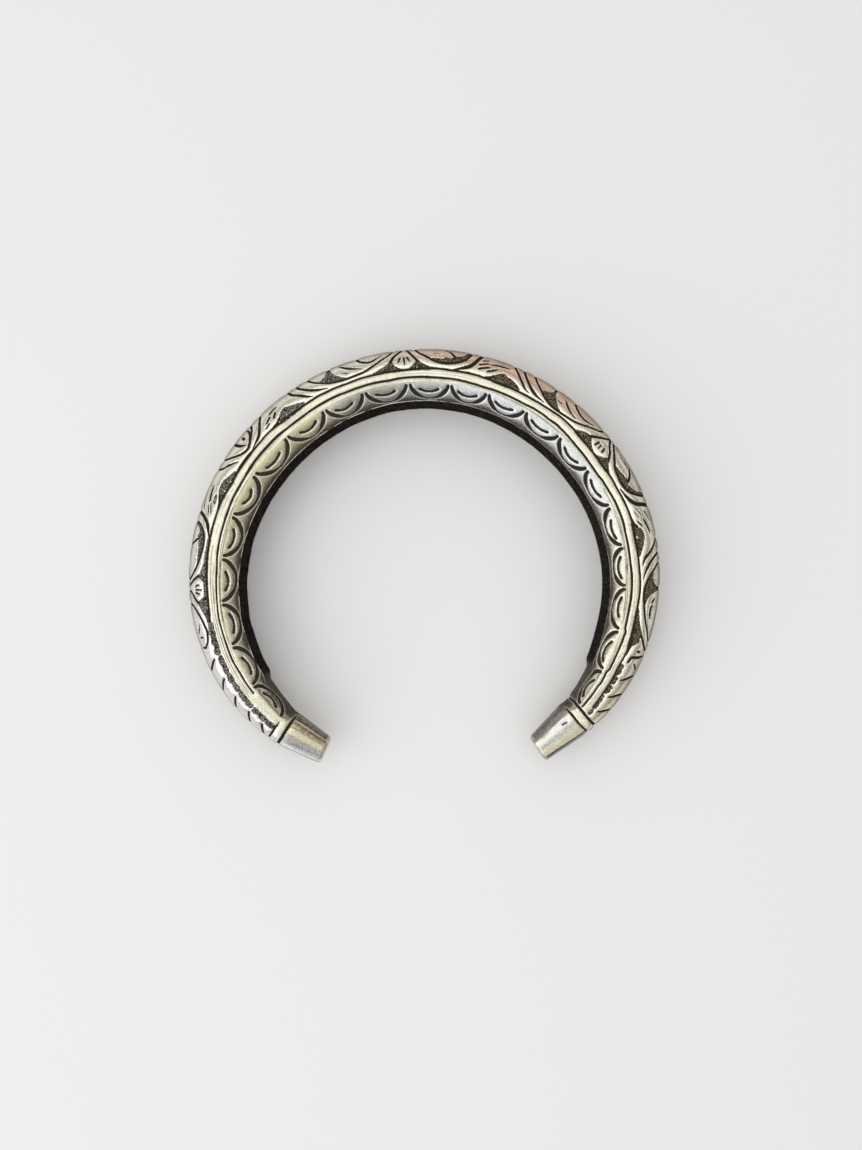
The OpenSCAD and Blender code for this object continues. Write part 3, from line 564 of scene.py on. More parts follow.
def surface_grid():
    """The plain surface on the whole grid: points, and a, v, radius and the share of the way
    round the half section for each."""
    count = TILES_ALONG * TILE + 1
    a = np.linspace(RIGHT["tip"], LEFT["tip"], count)
    in_hoop = (a >= RIGHT["ring"]) & (a <= LEFT["ring"])
    hoop_a = np.clip(a, RIGHT["ring"], LEFT["ring"])
    r, z, v = hoop_grid(hoop_a)
    f = (v[:, :1] - v) / (v[:, :1] - v[:, -1:])
    mid_r = ((inner_r(hoop_a) + outer_r(hoop_a)) / 2)[:, None]
    wide, high = curve(WIDE, hoop_a), 2 * top_z(hoop_a)
    for i in np.nonzero(in_hoop)[0]:
        end = LEFT if a[i] > 90 else RIGHT
        reach = abs(end["ring"] - end["collar"]) + 1.5
        part = float(smooth(1 - from_ring(a[i]) / reach))
        if part > 0:
            x, zo = faceted(end["facets"], f[i], wide[i], high[i])
            r[i], z[i] = mix(r[i], mid_r[i] + x, part), mix(z[i], zo, part)
    half = placed(r, hoop_a[:, None], z)
    for end, past in ((RIGHT, a < RIGHT["ring"]), (LEFT, a > LEFT["ring"])):
        half[past] = terminal_grid(a[past], end, f[past][0])
    low = half[:, -2:0:-1] * (1, 1, -1)
    points = np.concatenate([half, low], axis=1)
    both = lambda u: np.concatenate([u, u[:, -2:0:-1]], axis=1)
    a_all = np.repeat(a[:, None], points.shape[1], axis=1)
    # The arris between bevel and wall is softened for a few rows, and the faceted ends all round
    rows_away = both(np.abs(np.arange(half.shape[1]) - FIELD_ROWS - TOP_ROWS)[None] + 0 * v)
    ends = smooth((3 - from_ring(a)) / 3)[:, None]
    keep = np.clip(1 - smooth((8 - rows_away) / 4) - ends, 0, 1)
    points = softened(points, 1, 5, keep)
    radius = np.hypot(points[..., 0], points[..., 1])
    return points, a_all, both(v), radius, both(f + 0 * v)


def noise(x, y, size, seed):
    """Smooth random values from -1 to 1, with bumps about as large as size."""
    table = np.random.default_rng(seed).uniform(-1, 1, (256, 256))
    x, y = x / size, y / size
    i, j = np.floor(x).astype(int), np.floor(y).astype(int)
    s, t = smooth(x - i), smooth(y - j)
    i0, i1, j0, j1 = i % 256, (i + 1) % 256, j % 256, (j + 1) % 256
    return mix(mix(table[i0, j0], table[i1, j0], s), mix(table[i0, j1], table[i1, j1], s), t)


def through(points, steps=5, closed=False):
    """A smooth line through the points, as more points."""
    p = np.array(points, float)
    if len(p) == 2:
        return p
    if closed:
        p = np.vstack([p[-1:], p, p[:2]])
    else:
        p = np.vstack([2 * p[0] - p[1], p, 2 * p[-1] - p[-2]])
    t = np.arange(steps)[:, None] / steps
    parts = []
    for i in range(1, len(p) - 2):
        p0, p1, p2, p3 = p[i - 1 : i + 3]
        parts.append(0.5 * (2 * p1 + (p2 - p0) * t + (2 * p0 - 5 * p1 + 4 * p2 - p3) * t**2
                            + (3 * p1 - p0 - 3 * p2 + p3) * t**3))
    if not closed:
        parts.append(p[-2:-1])
    return np.vstack(parts)


class Side:
    """One flat side's half of the surface, with the fields that the chasing leaves on it: how deep
    it is cut, where it is stained or sunk, the insides of the scallops, and how far the nearest
    edge is, up to REACH."""

    REACH = 1.6

    def __init__(self, a, v, radius, seed):
        run = np.radians(a) * NOISE_R
        free = smooth((v[:, :1] - v) / 2)
        self.mm_per_deg = np.radians(radius)
        self.a = a + free * STRAY * noise(run, v, 2.3, seed) / self.mm_per_deg
        self.v = v + free * STRAY * noise(run, v, 2.6, seed + 1)
        self.grit = noise(run, v, 0.35, seed + 7)
        self.edge = np.full(v.shape, self.REACH)
        self.cut, self.stain, self.ground, self.petal = (np.zeros(v.shape) for _ in range(4))
        self.column_a = a[:, 0]

    def window(self, points):
        """The part of the grid near some points."""
        reach_a = self.REACH / LEAST_MM_PER_DEG
        first = np.searchsorted(self.column_a, points[:, 0].min() - reach_a)
        last = np.searchsorted(self.column_a, points[:, 0].max() + reach_a)
        v = self.v[first:last]
        if v.size == 0:
            return None
        near = (v > points[:, 1].min() - self.REACH) & (v < points[:, 1].max() + self.REACH)
        rows = np.nonzero(near.any(axis=0))[0]
        if len(rows) == 0:
            return None
        return slice(first, last), slice(rows[0], rows[-1] + 1)

    def distance(self, points, halves, at):
        """How far each grid point is from the edge of a line with these half widths at its points,
        in mm, below 0 inside it."""
        scale = self.mm_per_deg[at]
        best = np.full(scale.shape, 9.0)
        for i in range(len(points) - 1):
            px, pv = (self.a[at] - points[i, 0]) * scale, self.v[at] - points[i, 1]
            dx, dv = (points[i + 1, 0] - points[i, 0]) * scale, points[i + 1, 1] - points[i, 1]
            t = np.clip((px * dx + pv * dv) / (dx * dx + dv * dv + 1e-12), 0, 1)
            d = np.hypot(px - t * dx, pv - t * dv) - mix(halves[i], halves[i + 1], t)
            best = np.minimum(best, d)
        return best

    def line(self, width, first, last, points, depth=1.0):
        """Cuts a line through the points, width wide, with its ends as shares of that."""
        points = through(points)
        t = np.linspace(0, 1, len(points))
        halves = width / 2 * mix(first, 1, smooth(t / 0.3)) * mix(last, 1, smooth((1 - t) / 0.3))
        at = self.window(points)
        if at is not None:
            self.carve(self.distance(points, halves, at), width, depth, at)

    def carve(self, d, width, depth, at):
        """A rounded groove, where d is the distance from its edge."""
        inside = np.clip((SOFT_W - d) / (width / 2 + SOFT_W), 0, 1)
        self.cut[at] = np.maximum(self.cut[at], depth * np.sin(inside * math.pi / 2))
        self.stain[at] = np.maximum(self.stain[at], min(1, depth) * smooth(0.5 - d / (2 * SOFT_W)))
        self.edge[at] = np.minimum(self.edge[at], mix(self.REACH, np.maximum(d, 0), min(1, depth)))

    def patch(self, points, rough):
        """Sinks the ground inside an outline."""
        points = through(points, 4, closed=True)
        at = self.window(points)
        if at is None:
            return
        shut = np.vstack([points, points[:1]])
        d = self.distance(shut, np.zeros(len(shut)), at)
        a, v = self.a[at], self.v[at]
        inside = np.zeros(a.shape, bool)
        for (a0, v0), (a1, v1) in zip(shut[:-1], shut[1:]):
            if v0 == v1:
                continue
            crosses = (v0 > v) != (v1 > v)
            inside ^= crosses & (a < (a1 - a0) * (v - v0) / (v1 - v0) + a0)
        d = np.where(inside, -d, d) - GROUND_GROWTH + rough * self.grit[at]
        self.ground[at] = np.maximum(self.ground[at], smooth(0.5 - d / GROUND_SLOPE_W))
        self.edge[at] = np.minimum(self.edge[at], np.maximum(d, 0))

    def spare(self, a, v, radius):
        """Leaves a round spot standing in sunk ground."""
        spot = np.array([(a, v), (a, v)])
        at = self.window(spot)
        self.ground[at] *= smooth(0.5 + self.distance(spot, np.full(2, radius), at) / SPOT_SLOPE_W)


def chase_vine(side):
    """The vine's lines and the ground that is sunk between its leaves."""
    for width, first, last, *points in LINES:
        side.line(width * WIDEN, first, last, points)
    for outline in GROUND:
        side.patch(outline, ROUGH)
    for a, v, radius in ISLANDS:
        side.spare(a, v, radius)


def chase_scales(side):
    """The ribs of the scales, and the ragged ground between them and the band."""
    for a, v in SCALES:
        side.line(SCALE_CUT_W, 0.7, 0.3, [(a + x, v + y) for x, y in SCALE_RUN])
    for high, low in LOBES_LEFT:
        long, tall = high - low, 0.58 if high > 203 else 0.70
        side.patch([(high, 0.1), (high - 0.2, 0.45), (high - 0.35 * long, tall), (high - 0.7 * long, 0.46),
                    (low, 0.1), (low + 0.04 * long, -0.24), (low + 0.5 * long, -0.28),
                    (high - 0.06 * long, -0.22)], RAGGED)
    for high, low in LOBES_RIGHT:
        long, tall = high - low, 0.76 if high > -31 else 0.46
        side.patch([(high, 0.2), (high - 0.1, tall - 0.15), (high - 0.4 * long, tall), (low + 0.1, 0.35),
                    (low, 0.1), (low + 0.3 * long, -0.05), (high - 0.2 * long, 0.0)], RAGGED)


def scallop_bottom(a):
    """The v of a scallop's lowest point, which rises towards both ends."""
    return SCALLOP_LOW_V - 0.72 * np.clip((a + 5) / 115, 0, 1) + 0.007 * max(0, a - 183)


def scallop_rise(u):
    """How far up a scallop its curve is at u, which is 0 at its middle and 0.9 at its cusps."""
    half_round = 1.08 * (1 - np.sqrt(np.clip(1 - (u / 0.905) ** 2, 0, 1)))
    return mix(half_round, (u / 0.9) ** 2, 0.3)


def chase_scallops(side):
    """Each scallop is a crescent cut from cusp to cusp, with a short arc in it."""
    for low, high, (shift, reach, end_v, middle_v) in zip(CUSPS[:-1], CUSPS[1:], ARCS):
        middle, half = (low + high) / 2, (high - low) / 2
        u = 0.91 * np.sin(np.linspace(-1.45, 1.45, 27))
        at_end = high > 222 or low < -38
        bottom = scallop_bottom(middle) - (END_SCALLOP_DROP if at_end else 0.0)
        top = SCALLOP_HIGH_V - 0.18 * smooth(middle / 10) * smooth((208 - middle) / 5)
        v = bottom + (top - bottom) * scallop_rise(u)
        at = side.window(np.array([(low, bottom), (high, top)]))
        points = np.stack([middle + half * u, v], axis=1)
        low_half = CRESCENT_LOW_W / 2 + 0.14 * smooth((middle - 125) / 40)
        halves = mix(low_half, CRESCENT_SIDE_W / 2, smooth((np.abs(u) - 0.15) / 0.5))
        halves -= 0.09 * smooth((np.abs(u) - 0.75) / 0.2)
        side.carve(side.distance(points, halves, at), 0.5, 1.15, at)
        across = np.abs(side.a[at] - middle) / half
        above = side.v[at] - bottom - (top - bottom) * scallop_rise(across)
        inside = smooth(above / 0.3) * smooth((0.95 - across) / 0.05)
        side.petal[at] = np.maximum(side.petal[at], inside)
        arc = [(middle + shift + reach * t, mix(middle_v, end_v, t * t)) for t in np.linspace(-1, 1, 7)]
        side.line(END_ARC_W if at_end else ARC_W, 1.15, 1.15, arc)


def chase_band(side):
    """The lines on each side of the border band, and the rings by the collars."""
    for width, depth, *points in BAND_LINES:
        side.line(width, 0.8, 0.8, points, depth)
    for high, low, v, strength in SCRATCHES:
        points = [(mix(high, low, t), v) for t in np.linspace(0, 1, 7)]
        side.line(SCRATCH_W, 0.5, 0.5, points, strength)
    for width, left, *points in RINGS:
        side.line(width, 1.0, left, points, RING_DEPTH)


def chased_side(a, v, radius, seed):
    """One flat side with all its chasing."""
    side = Side(a, v, radius, seed)
    for chase in (chase_vine, chase_scales, chase_scallops, chase_band):
        chase(side)
    return side


def grid_normals(points):
    """Outward normals of the grid's surface, which is closed round its rows."""
    along = np.gradient(points, axis=0)
    round_ = np.roll(points, -1, 1) - np.roll(points, 1, 1)
    normal = np.cross(along, round_)
    return normal / np.maximum(np.linalg.norm(normal, axis=2, keepdims=True), 1e-9)


def chased_surface():
    """The whole silver surface: its points, and the fields that its material reads."""
    points, a, v, radius, way = surface_grid()
    half = FIELD_ROWS + TOP_ROWS + WALL_ROWS + 1
    upper, lower = (
        chased_side(a[:, :half], v[:, :half], radius[:, :half], seed)
        for seed in (UPPER_SEED, LOWER_SEED)
    )
    cut, stain, ground, edge, petal = (
        np.concatenate([getattr(upper, name), getattr(lower, name)[:, -2:0:-1]], axis=1)
        for name in ("cut", "stain", "ground", "edge", "petal")
    )
    at_arris = v[:, half - WALL_ROWS - 1][:, None]
    wall = smooth((at_arris - v - 0.1) / 0.2)
    walled = smooth((from_ring(a) - 13) / 5)
    plain_end = smooth((0.1 - from_ring(a)) / 0.3)
    tip = smooth((TIP_BEVEL_A + 0.1 - np.minimum(a - RIGHT["tip"], LEFT["tip"] - a)) / 0.15)

    run = np.radians(a) * NOISE_R
    noise_v = v + np.where(points[..., 2] >= 0, 0.0, LOWER_SHIFT)
    relief = -LINE_D * cut * (1 - 0.6 * ground) - GROUND_D * ground
    relief -= PILLOW_D * np.exp(-((edge / PILLOW_W) ** 2)) * (1 - ground)
    relief += PUNCH_D * ground * (noise(run, noise_v, 0.21, 5) - 0.3)
    relief *= mix(1, OUTER_DEPTH, smooth((v - 2.5) / 3.5))
    relief -= WORN_D * (1 + noise(run, noise_v, 3.1, 6))
    pitted = 0.09 * noise(run, noise_v, 1.5, 8) + 0.03 * noise(run, noise_v, 0.7, 9)
    relief -= wall * walled * (WALL_D + pitted)
    points = points + grid_normals(points) * relief[..., None]
    return points, {
        "stain": stain, "ground": ground, "edge": edge, "petal": petal, "rise": v, "turn": a, "way": way,
        "arris": v - at_arris, "walled": walled, "plain_end": plain_end, "tip": tip,
    }


def bisect_errors(points, weights):
    """How far each grid point is from the middle of the longest side of the triangles that it
    would split, times its row's weight, or the largest such value among the points that need it."""
    count, rows = points.shape[:2]
    error = np.zeros((count, rows))
    levels = int(math.log2(TILE))
    loop = lambda u: np.concatenate([u, u[:, :1]], axis=1)
    p, e = loop(points), loop(error)

    def distance(at, low, high):
        return weights[at[1] % rows] * np.linalg.norm(p[at] - (p[low] + p[high]) / 2, axis=-1)

    for level in range(levels):
        h = 2**level
        step = 2 * h
        for odd_col in (True, False):
            i = np.arange(h if odd_col else 0, count, step)
            j = np.arange(0 if odd_col else h, rows + 1, step)
            ii, jj = np.meshgrid(i, j, indexing="ij")
            if odd_col:
                own = distance((ii, jj), (ii - h, jj), (ii + h, jj))
            else:
                own = distance((ii, jj), (ii, jj - h), (ii, jj + h))
            if h > 1:
                q = h // 2
                for di in (-q, q):
                    for dj in (-q, q):
                        ni, nj = ii + di, (jj + dj) % rows
                        ok = (ni >= 0) & (ni < count)
                        own = np.maximum(own, np.where(ok, e[np.clip(ni, 0, count - 1), nj], 0))
            e[ii, jj] = own
        e[:, 0] = e[:, -1] = np.maximum(e[:, 0], e[:, -1])
        i, j = np.arange(h, count, step), np.arange(h, rows, step)
        ii, jj = np.meshgrid(i, j, indexing="ij")
        own = np.maximum(
            distance((ii, jj), (ii - h, jj - h), (ii + h, jj + h)),
            distance((ii, jj), (ii - h, jj + h), (ii + h, jj - h)),
        )
        for di, dj in ((-h, 0), (h, 0), (0, -h), (0, h)):
            own = np.maximum(own, e[ii + di, jj + dj])
        e[ii, jj] = own
    return e


def bisect_triangles(error, most):
    """Triangles of grid points (column, row), split wherever the error is above most."""
    count, rows = error.shape[0], error.shape[1] - 1
    i, j = np.meshgrid(np.arange(0, count - 1, TILE), np.arange(0, rows, TILE), indexing="ij")
    i, j = i.ravel(), j.ravel()
    corner = lambda di, dj: np.stack([i + di, j + dj], axis=1)
    a, b, c, d = corner(0, 0), corner(TILE, 0), corner(TILE, TILE), corner(0, TILE)
    # Each triangle is (left end of the longest side, right end, opposite corner).
    live = np.concatenate([np.stack([a, c, b], 1), np.stack([c, a, d], 1)])
    done = []
    while len(live):
        middle = (live[:, 0] + live[:, 1]) // 2
        whole = np.abs(live[:, 0] - live[:, 1]).max(axis=1) > 1
        split = whole & (error[middle[:, 0], middle[:, 1]] > most)
        done.append(live[~split])
        t, m = live[split], middle[split]
        live = np.concatenate([
            np.stack([t[:, 2], t[:, 0], m], 1),
            np.stack([t[:, 1], t[:, 2], m], 1),
        ])
    return np.concatenate(done)


def silver_mesh(points, fields):
    """A closed mesh of the surface, fine where the surface needs it."""
    count, rows = points.shape[:2]
    weights = np.where(np.arange(rows) <= rows // 2, 1.0, UNDER_WEIGHT)
    marks = np.stack([COLOUR_MM * fields["stain"], COLOUR_MM * fields["ground"]], axis=-1)
    error = bisect_errors(np.concatenate([points, marks], axis=2), weights)
    # The least error to allow, narrowed down between these two until the triangles are just enough
    low, high = 0.001, 0.2
    for _ in range(16):
        most = math.sqrt(low * high)
        if len(bisect_triangles(error, most)) > MOST_TRIANGLES:
            low = most
        else:
            high = most
    corners = bisect_triangles(error, high)
    index = corners[..., 0] * rows + corners[..., 1] % rows
    used, faces = np.unique(index, return_inverse=True)
    faces = faces.reshape(-1, 3)
    place = points.reshape(-1, 3)[used]
    values = {name: field.reshape(-1)[used] for name, field in fields.items()}
    # A fan of triangles closes each end
    for column, flip in ((0, True), (count - 1, False)):
        rim = np.nonzero(used // rows == column)[0]
        middle = place[rim].mean(axis=0)
        hub = len(place)
        place = np.vstack([place, middle])
        values = {name: np.append(value, value[rim].mean()) for name, value in values.items()}
        after = np.roll(rim, -1)
        fan = np.stack([rim, after, np.full(len(rim), hub)], 1)
        faces = np.vstack([faces, fan[:, ::-1] if flip else fan])
    return place, values, faces[:, ::-1]


def add_object(name, data, place=(0, 0, 0)):
    """Adds an object to the scene at a place."""
    added = bpy.data.objects.new(name, data)
    added.location = place
    bpy.context.scene.collection.objects.link(added)
    return added


def made_mesh(name, place, faces, values):
    """A smooth mesh with one attribute for each field."""
    mesh = bpy.data.meshes.new(name)
    mesh.vertices.add(len(place))
    mesh.vertices.foreach_set("co", place.astype(np.float32).ravel())
    mesh.loops.add(3 * len(faces))
    mesh.loops.foreach_set("vertex_index", faces.astype(np.int32).ravel())
    mesh.polygons.add(len(faces))
    mesh.polygons.foreach_set("loop_start", np.arange(0, 3 * len(faces), 3, dtype=np.int32))
    mesh.polygons.foreach_set("use_smooth", np.ones(len(faces), bool))
    mesh.update(calc_edges=True)
    mesh.validate()
    for key, value in values.items():
        layer = mesh.attributes.new(key, "FLOAT", "POINT")
        layer.data.foreach_set("value", value.astype(np.float32))
    return mesh


def make_kada(low, high):
    """The kada, with its box set on the solid's box from low to high."""
    points, fields = chased_surface()
    place, values, faces = silver_mesh(points, fields)
    outline = np.array([placed(outer_r(a), a, 0 * a) for a in np.linspace(-40, 224, 2000)])
    tips = [placed(end["tip_r"] + TIP_W / 2, end["tip"], 0.0) for end in (RIGHT, LEFT)]
    xs, ys = outline[:, 0], np.concatenate([outline[:, 1], [tip[1] for tip in tips]])
    middle = np.array([(xs.min() + xs.max()) / 2, (ys.min() + ys.max()) / 2, -HOOP_H / 2])
    place = np.clip((place - middle) * MM, np.array(low), np.array(high))
    return add_object("kada_silver", made_mesh("kada_silver", place, faces, values))


class Nodes:
    """A short way to build the nodes of a material or a world."""

    def __init__(self, owner, shader="Principled BSDF"):
        owner.use_nodes = True
        self.owner, self.tree = owner, owner.node_tree
        self.shader = self.tree.nodes[shader]

    def link(self, value, socket):
        if isinstance(value, bpy.types.NodeSocket):
            self.tree.links.new(value, socket)
        else:
            socket.default_value = value

    def node(self, kind, inputs, **settings):
        """The outputs of a new node."""
        new = self.tree.nodes.new("ShaderNode" + kind)
        for name, setting in settings.items():
            setattr(new, name, setting)
        for key, value in inputs.items():
            self.link(value, new.inputs[key])
        return new.outputs

    def shade(self, inputs):
        for key, value in inputs.items():
            self.link(value, self.shader.inputs[key])

    def attribute(self, name):
        return self.node("Attribute", {}, attribute_name=name)["Fac"]

    def math(self, operation, value, *others, clamp=False):
        """The first value joined with each of the others in turn."""
        for other in others:
            value = self.node("Math", {0: value, 1: other}, operation=operation, use_clamp=clamp)[0]
        return value

    def times(self, *factors):
        return self.math("MULTIPLY", *factors)

    def most(self, *values):
        return self.math("MAXIMUM", *values)

    def range(self, value, low, high, to_low=0.0, to_high=1.0):
        """value mapped smoothly from low..high to to_low..to_high."""
        inputs = dict(enumerate((value, low, high, to_low, to_high)))
        return self.node("MapRange", inputs, interpolation_type="SMOOTHSTEP")[0]

    def blend(self, factor, a, b):
        """Colour a where factor is 0, and colour b where it is 1."""
        inputs = {"Factor": factor}
        for key, colour in ((6, a), (7, b)):
            inputs[key] = colour if isinstance(colour, bpy.types.NodeSocket) else (*colour, 1)
        return self.node("Mix", inputs, data_type="RGBA")[2]

    def noise(self, scale, detail):
        """Noise over the object's own space, in which scale is per millimetre."""
        place = self.node("TexCoord", {})["Object"]
        in_mm = self.node("VectorMath", {0: place, "Scale": 1 / MM}, operation="SCALE")[0]
        return self.node("TexNoise", {"Vector": in_mm, "Scale": scale, "Detail": detail})["Fac"]

    def bump(self, height, strength, distance):
        inputs = {"Height": height, "Strength": strength, "Distance": distance}
        return self.node("Bump", inputs)["Normal"]


# The tints of each terminal's facets, which paint in the light and shade on them: the first one's, then
# for each of the next the shares of the way round between which it begins, and its colour. Two colours
# are streaked, and none is speckled.
RIGHT_FACET_SHADING = (
    (0.36, 0.32, 0.28),
    (0.05, 0.28, (0.10, 0.08, 0.065), (0.17, 0.14, 0.115)),
    (0.325, 0.345, (0.70, 0.64, 0.49)),
    (0.44, 0.50),
    (0.52, 0.60, (0.70, 0.68, 0.62)),
    (0.66, 0.76, (0.30, 0.26, 0.22), (0.44, 0.39, 0.33)),
    (0.76, 0.86, (0.10, 0.08, 0.07), (0.20, 0.17, 0.14)),
)
LEFT_FACET_SHADING = (
    (0.30, 0.27, 0.25),
    (0.20, 0.25, (0.90, 0.90, 0.90)),
    (0.335, 0.37),
    (0.47, 0.53, (0.68, 0.62, 0.43)),
    (0.58, 0.61, (0.31, 0.25, 0.15), (0.50, 0.42, 0.27)),
    (0.73, 0.74, (0.90, 0.80, 0.70)),
    (0.75, 0.765, (0.12, 0.09, 0.075), (0.27, 0.21, 0.175)),
)


def terminal_colour(n, turn, grit, streak):
    """The facets of the two terminals: each has its own tint, which paints in its light and shade."""
    way = n.attribute("way")
    speckle = n.blend(n.range(grit, 0.36, 0.64), (0.30, 0.30, 0.26), (0.58, 0.58, 0.52))
    ends = []
    for colour, *facets in (RIGHT_FACET_SHADING, LEFT_FACET_SHADING):
        for low, high, *tints in facets:
            if len(tints) == 2:
                tint = n.blend(streak, *tints)
            else:
                tint = tints[0] if tints else speckle
            colour = n.blend(n.range(way, low, high), colour, tint)
        ends.append(colour)
    return n.blend(n.range(turn, 80, 100), *ends)


def clean_colour(n, turn, rise, petal, cloud):
    """The colour of the clean silver round the hoop, with painted reflections, highlights and shade set by
    angle and height.
    """
    clouded = n.range(cloud, 0.35, 0.65)
    cream = n.blend(clouded, (0.69, 0.66, 0.51), (0.78, 0.75, 0.61))
    cold = n.blend(clouded, (0.74, 0.73, 0.69), (0.83, 0.81, 0.78))
    warm = n.blend(clouded, (0.86, 0.81, 0.65), (0.94, 0.90, 0.76))
    # Cooler towards the left end: a painted reflection of the cool light from the left
    white = n.blend(n.range(turn, 145, 190), warm, cold)
    silver = n.blend(n.range(rise, 0.0, 0.6), cream, white)

    # The bevel: a warm, darker painted reflection at the left, a painted highlight in the middle of each
    # scallop there, and a painted cool reflection at the back
    # Painted warm reflection and shade on the bevel at the left
    painted_warm_shade = n.times(
        n.range(rise, -1.85, -2.3), n.range(turn, 112, 128), n.range(turn, 195, 142, 0.7, 0.93))
    silver = n.blend(painted_warm_shade, silver, (0.48, 0.43, 0.28))
    # Painted highlight in the middle of each scallop
    lit = n.times(
        n.range(rise, -2.9, -3.7), n.range(turn, 112, 135), petal, n.range(turn, 140, 175, 0.22, 0.5))
    silver = n.blend(lit, silver, (0.80, 0.74, 0.57))
    # Painted cool reflection on the upper bevel at the back
    painted_cool_reflection = n.times(n.range(rise, -1.85, -2.1), n.range(turn, 126, 112), n.range(turn, -10, 40), 0.9)
    cool_reflection_tone = n.blend(n.range(turn, 74, 90), (0.58, 0.60, 0.61), (0.38, 0.39, 0.38))
    cool_reflection_tone = n.blend(n.range(turn, 92, 106), cool_reflection_tone, (0.30, 0.29, 0.235))
    silver = n.blend(painted_cool_reflection, silver, cool_reflection_tone)

    # The outer side: a copper tint at the upper right, partly a painted reflection of warm surroundings,
    # and a painted tan shade towards the right end
    copper_tint_and_reflection = n.times(n.range(rise, 0.6, 2.6), n.range(turn, 22, 60), n.range(turn, 108, 78), 0.8)
    silver = n.blend(copper_tint_and_reflection, silver, (0.85, 0.50, 0.36))
    painted_tan_shade = n.times(n.range(rise, 0.7, 2.0, 0.0, 0.65), n.range(turn, -10, -26))
    return n.blend(painted_tan_shade, silver, (0.74, 0.62, 0.45))


def old_silver():
    """Worn silver: bright on the high places, tarnished by the lines, black in the ground, and with painted
    light, shade and reflections laid into its colour.
    """
    n = Nodes(bpy.data.materials.new("old_silver"))
    stain, ground, edge, petal, rise, turn, arris, walled, plain_end, tip = (
        n.attribute(name) for name in
        ("stain", "ground", "edge", "petal", "rise", "turn", "arris", "walled", "plain_end", "tip")
    )
    cloud, patch = n.noise(0.22, 4.0), n.noise(0.6, 3.0)
    grain, grit, pebble = n.noise(2.6, 3.0), n.noise(6.0, 2.0), n.noise(5.5, 1.0)

    # Painted shade towards the wrist, where the bevel turns away from the light, and on the rounded outer
    # side and at both ends, where it stands in for dark reflections; random tarnish comes on top
    inward_shade = n.times(
        n.range(arris, 2.4, 0.1, 0.0, 0.9), n.range(edge, 0.0, 0.5, 0.35, 1.0),
        n.range(petal, 0.0, 1.0, 1.0, 0.55))
    shade = n.most(n.range(turn, 60, -30, 0.80, 0.94), n.range(turn, 140, 190, 0.78, 0.88))
    outward_shade = n.times(n.range(rise, 2.6, 5.2), shade)
    right_end_shade = n.times(n.range(turn, -12, -24, 0.0, 0.8), n.range(rise, 2.1, 3.9))
    left_end_shade = n.times(n.range(turn, 194, 208, 0.0, 0.7), n.range(rise, 2.8, 4.4))
    painted_shade = n.most(inward_shade, outward_shade, right_end_shade, left_end_shade)
    tarnish_and_shade = n.math("ADD", painted_shade, n.range(grain, 0.3, 0.7, 0.08, -0.15))
    tarnish_and_shade = n.math("ADD", tarnish_and_shade, n.range(patch, 0.4, 0.75, -0.04, 0.10), clamp=True)
    colour = n.blend(tarnish_and_shade, clean_colour(n, turn, rise, petal, cloud), (0.155, 0.118, 0.09))

    # Painted highlights along the edges of the lines, and a brown edge towards the wrist, partly tarnish
    # and partly painted shade
    edge_highlight = n.times(n.range(edge, 0.0, 0.05), n.range(edge, 0.22, 0.10, 0.0, 0.4))
    colour = n.blend(edge_highlight, colour, (0.93, 0.90, 0.82))
    # Brown along the bevel's lower edge: painted shade where it turns from the light, partly tarnish
    brown_arris_shade = n.times(
        n.range(arris, 1.35, 0.35), n.range(edge, 0.0, 0.25, 0.4, 1.0),
        n.most(n.range(turn, 58, 76, 0.78, 1.0), n.range(turn, 28, 2, 0.7, 1.0)),
        n.range(grain, 0.25, 0.6, 1.0, 0.75))
    colour = n.blend(n.times(brown_arris_shade, 0.95), colour, (0.046, 0.036, 0.028))

    # The terminals, with their painted facet light and shade, and fine speckles everywhere
    streak = n.range(n.noise(1.6, 4.0), 0.42, 0.62)
    terminal = terminal_colour(n, turn, grit, streak)
    terminal = n.blend(n.range(patch, 0.5, 0.8, 0.0, 0.4), terminal, (0.30, 0.25, 0.18))
    colour = n.blend(plain_end, colour, terminal)
    worn_tip = n.blend(streak, (0.56, 0.47, 0.41), (0.76, 0.70, 0.64))
    colour = n.blend(n.times(tip, 0.85), colour, worn_tip)
    speckled = n.math("ADD", n.range(grit, 0.3, 0.7, -0.5, 0.5), n.range(pebble, 0.3, 0.7, -0.3, 0.3))
    colour = n.blend(n.range(speckled, -0.1, -0.6, 0.0, 0.35), colour, (0.20, 0.17, 0.13))

    # A thin painted highlight along the worn rim of the wall
    rim = n.times(
        n.range(arris, 0.16, 0.07), n.range(arris, -0.12, -0.04), n.range(patch, 0.35, 0.55), walled,
        n.range(turn, 55, 110, 0.25, 1.0))
    colour = n.blend(rim, colour, (0.85, 0.82, 0.76))

    # The stippled ground, the lines, and the inner wall, dark with oxide and with painted shade
    stipple = n.blend(n.range(turn, 85, 130), (0.24, 0.20, 0.135), (0.33, 0.31, 0.28))
    punched = n.blend(n.range(pebble, 0.45, 0.63), (0.028, 0.022, 0.014), stipple)
    colour = n.blend(n.range(ground, 0.25, 0.7), colour, punched)
    greyed = n.times(n.range(turn, 130, 100), n.range(turn, 0, 25))
    in_scallop = n.blend(greyed, (0.052, 0.038, 0.025), (0.036, 0.034, 0.032))
    in_line = n.blend(n.range(rise, -1.7, -2.2), (0.034, 0.025, 0.013), in_scallop)
    colour = n.blend(n.range(stain, 0.16, 0.56), colour, in_line)
    specks = n.times(n.range(n.noise(2.4, 3.0), 0.48, 0.74), n.range(patch, 0.35, 0.6, 0.3, 1.0))
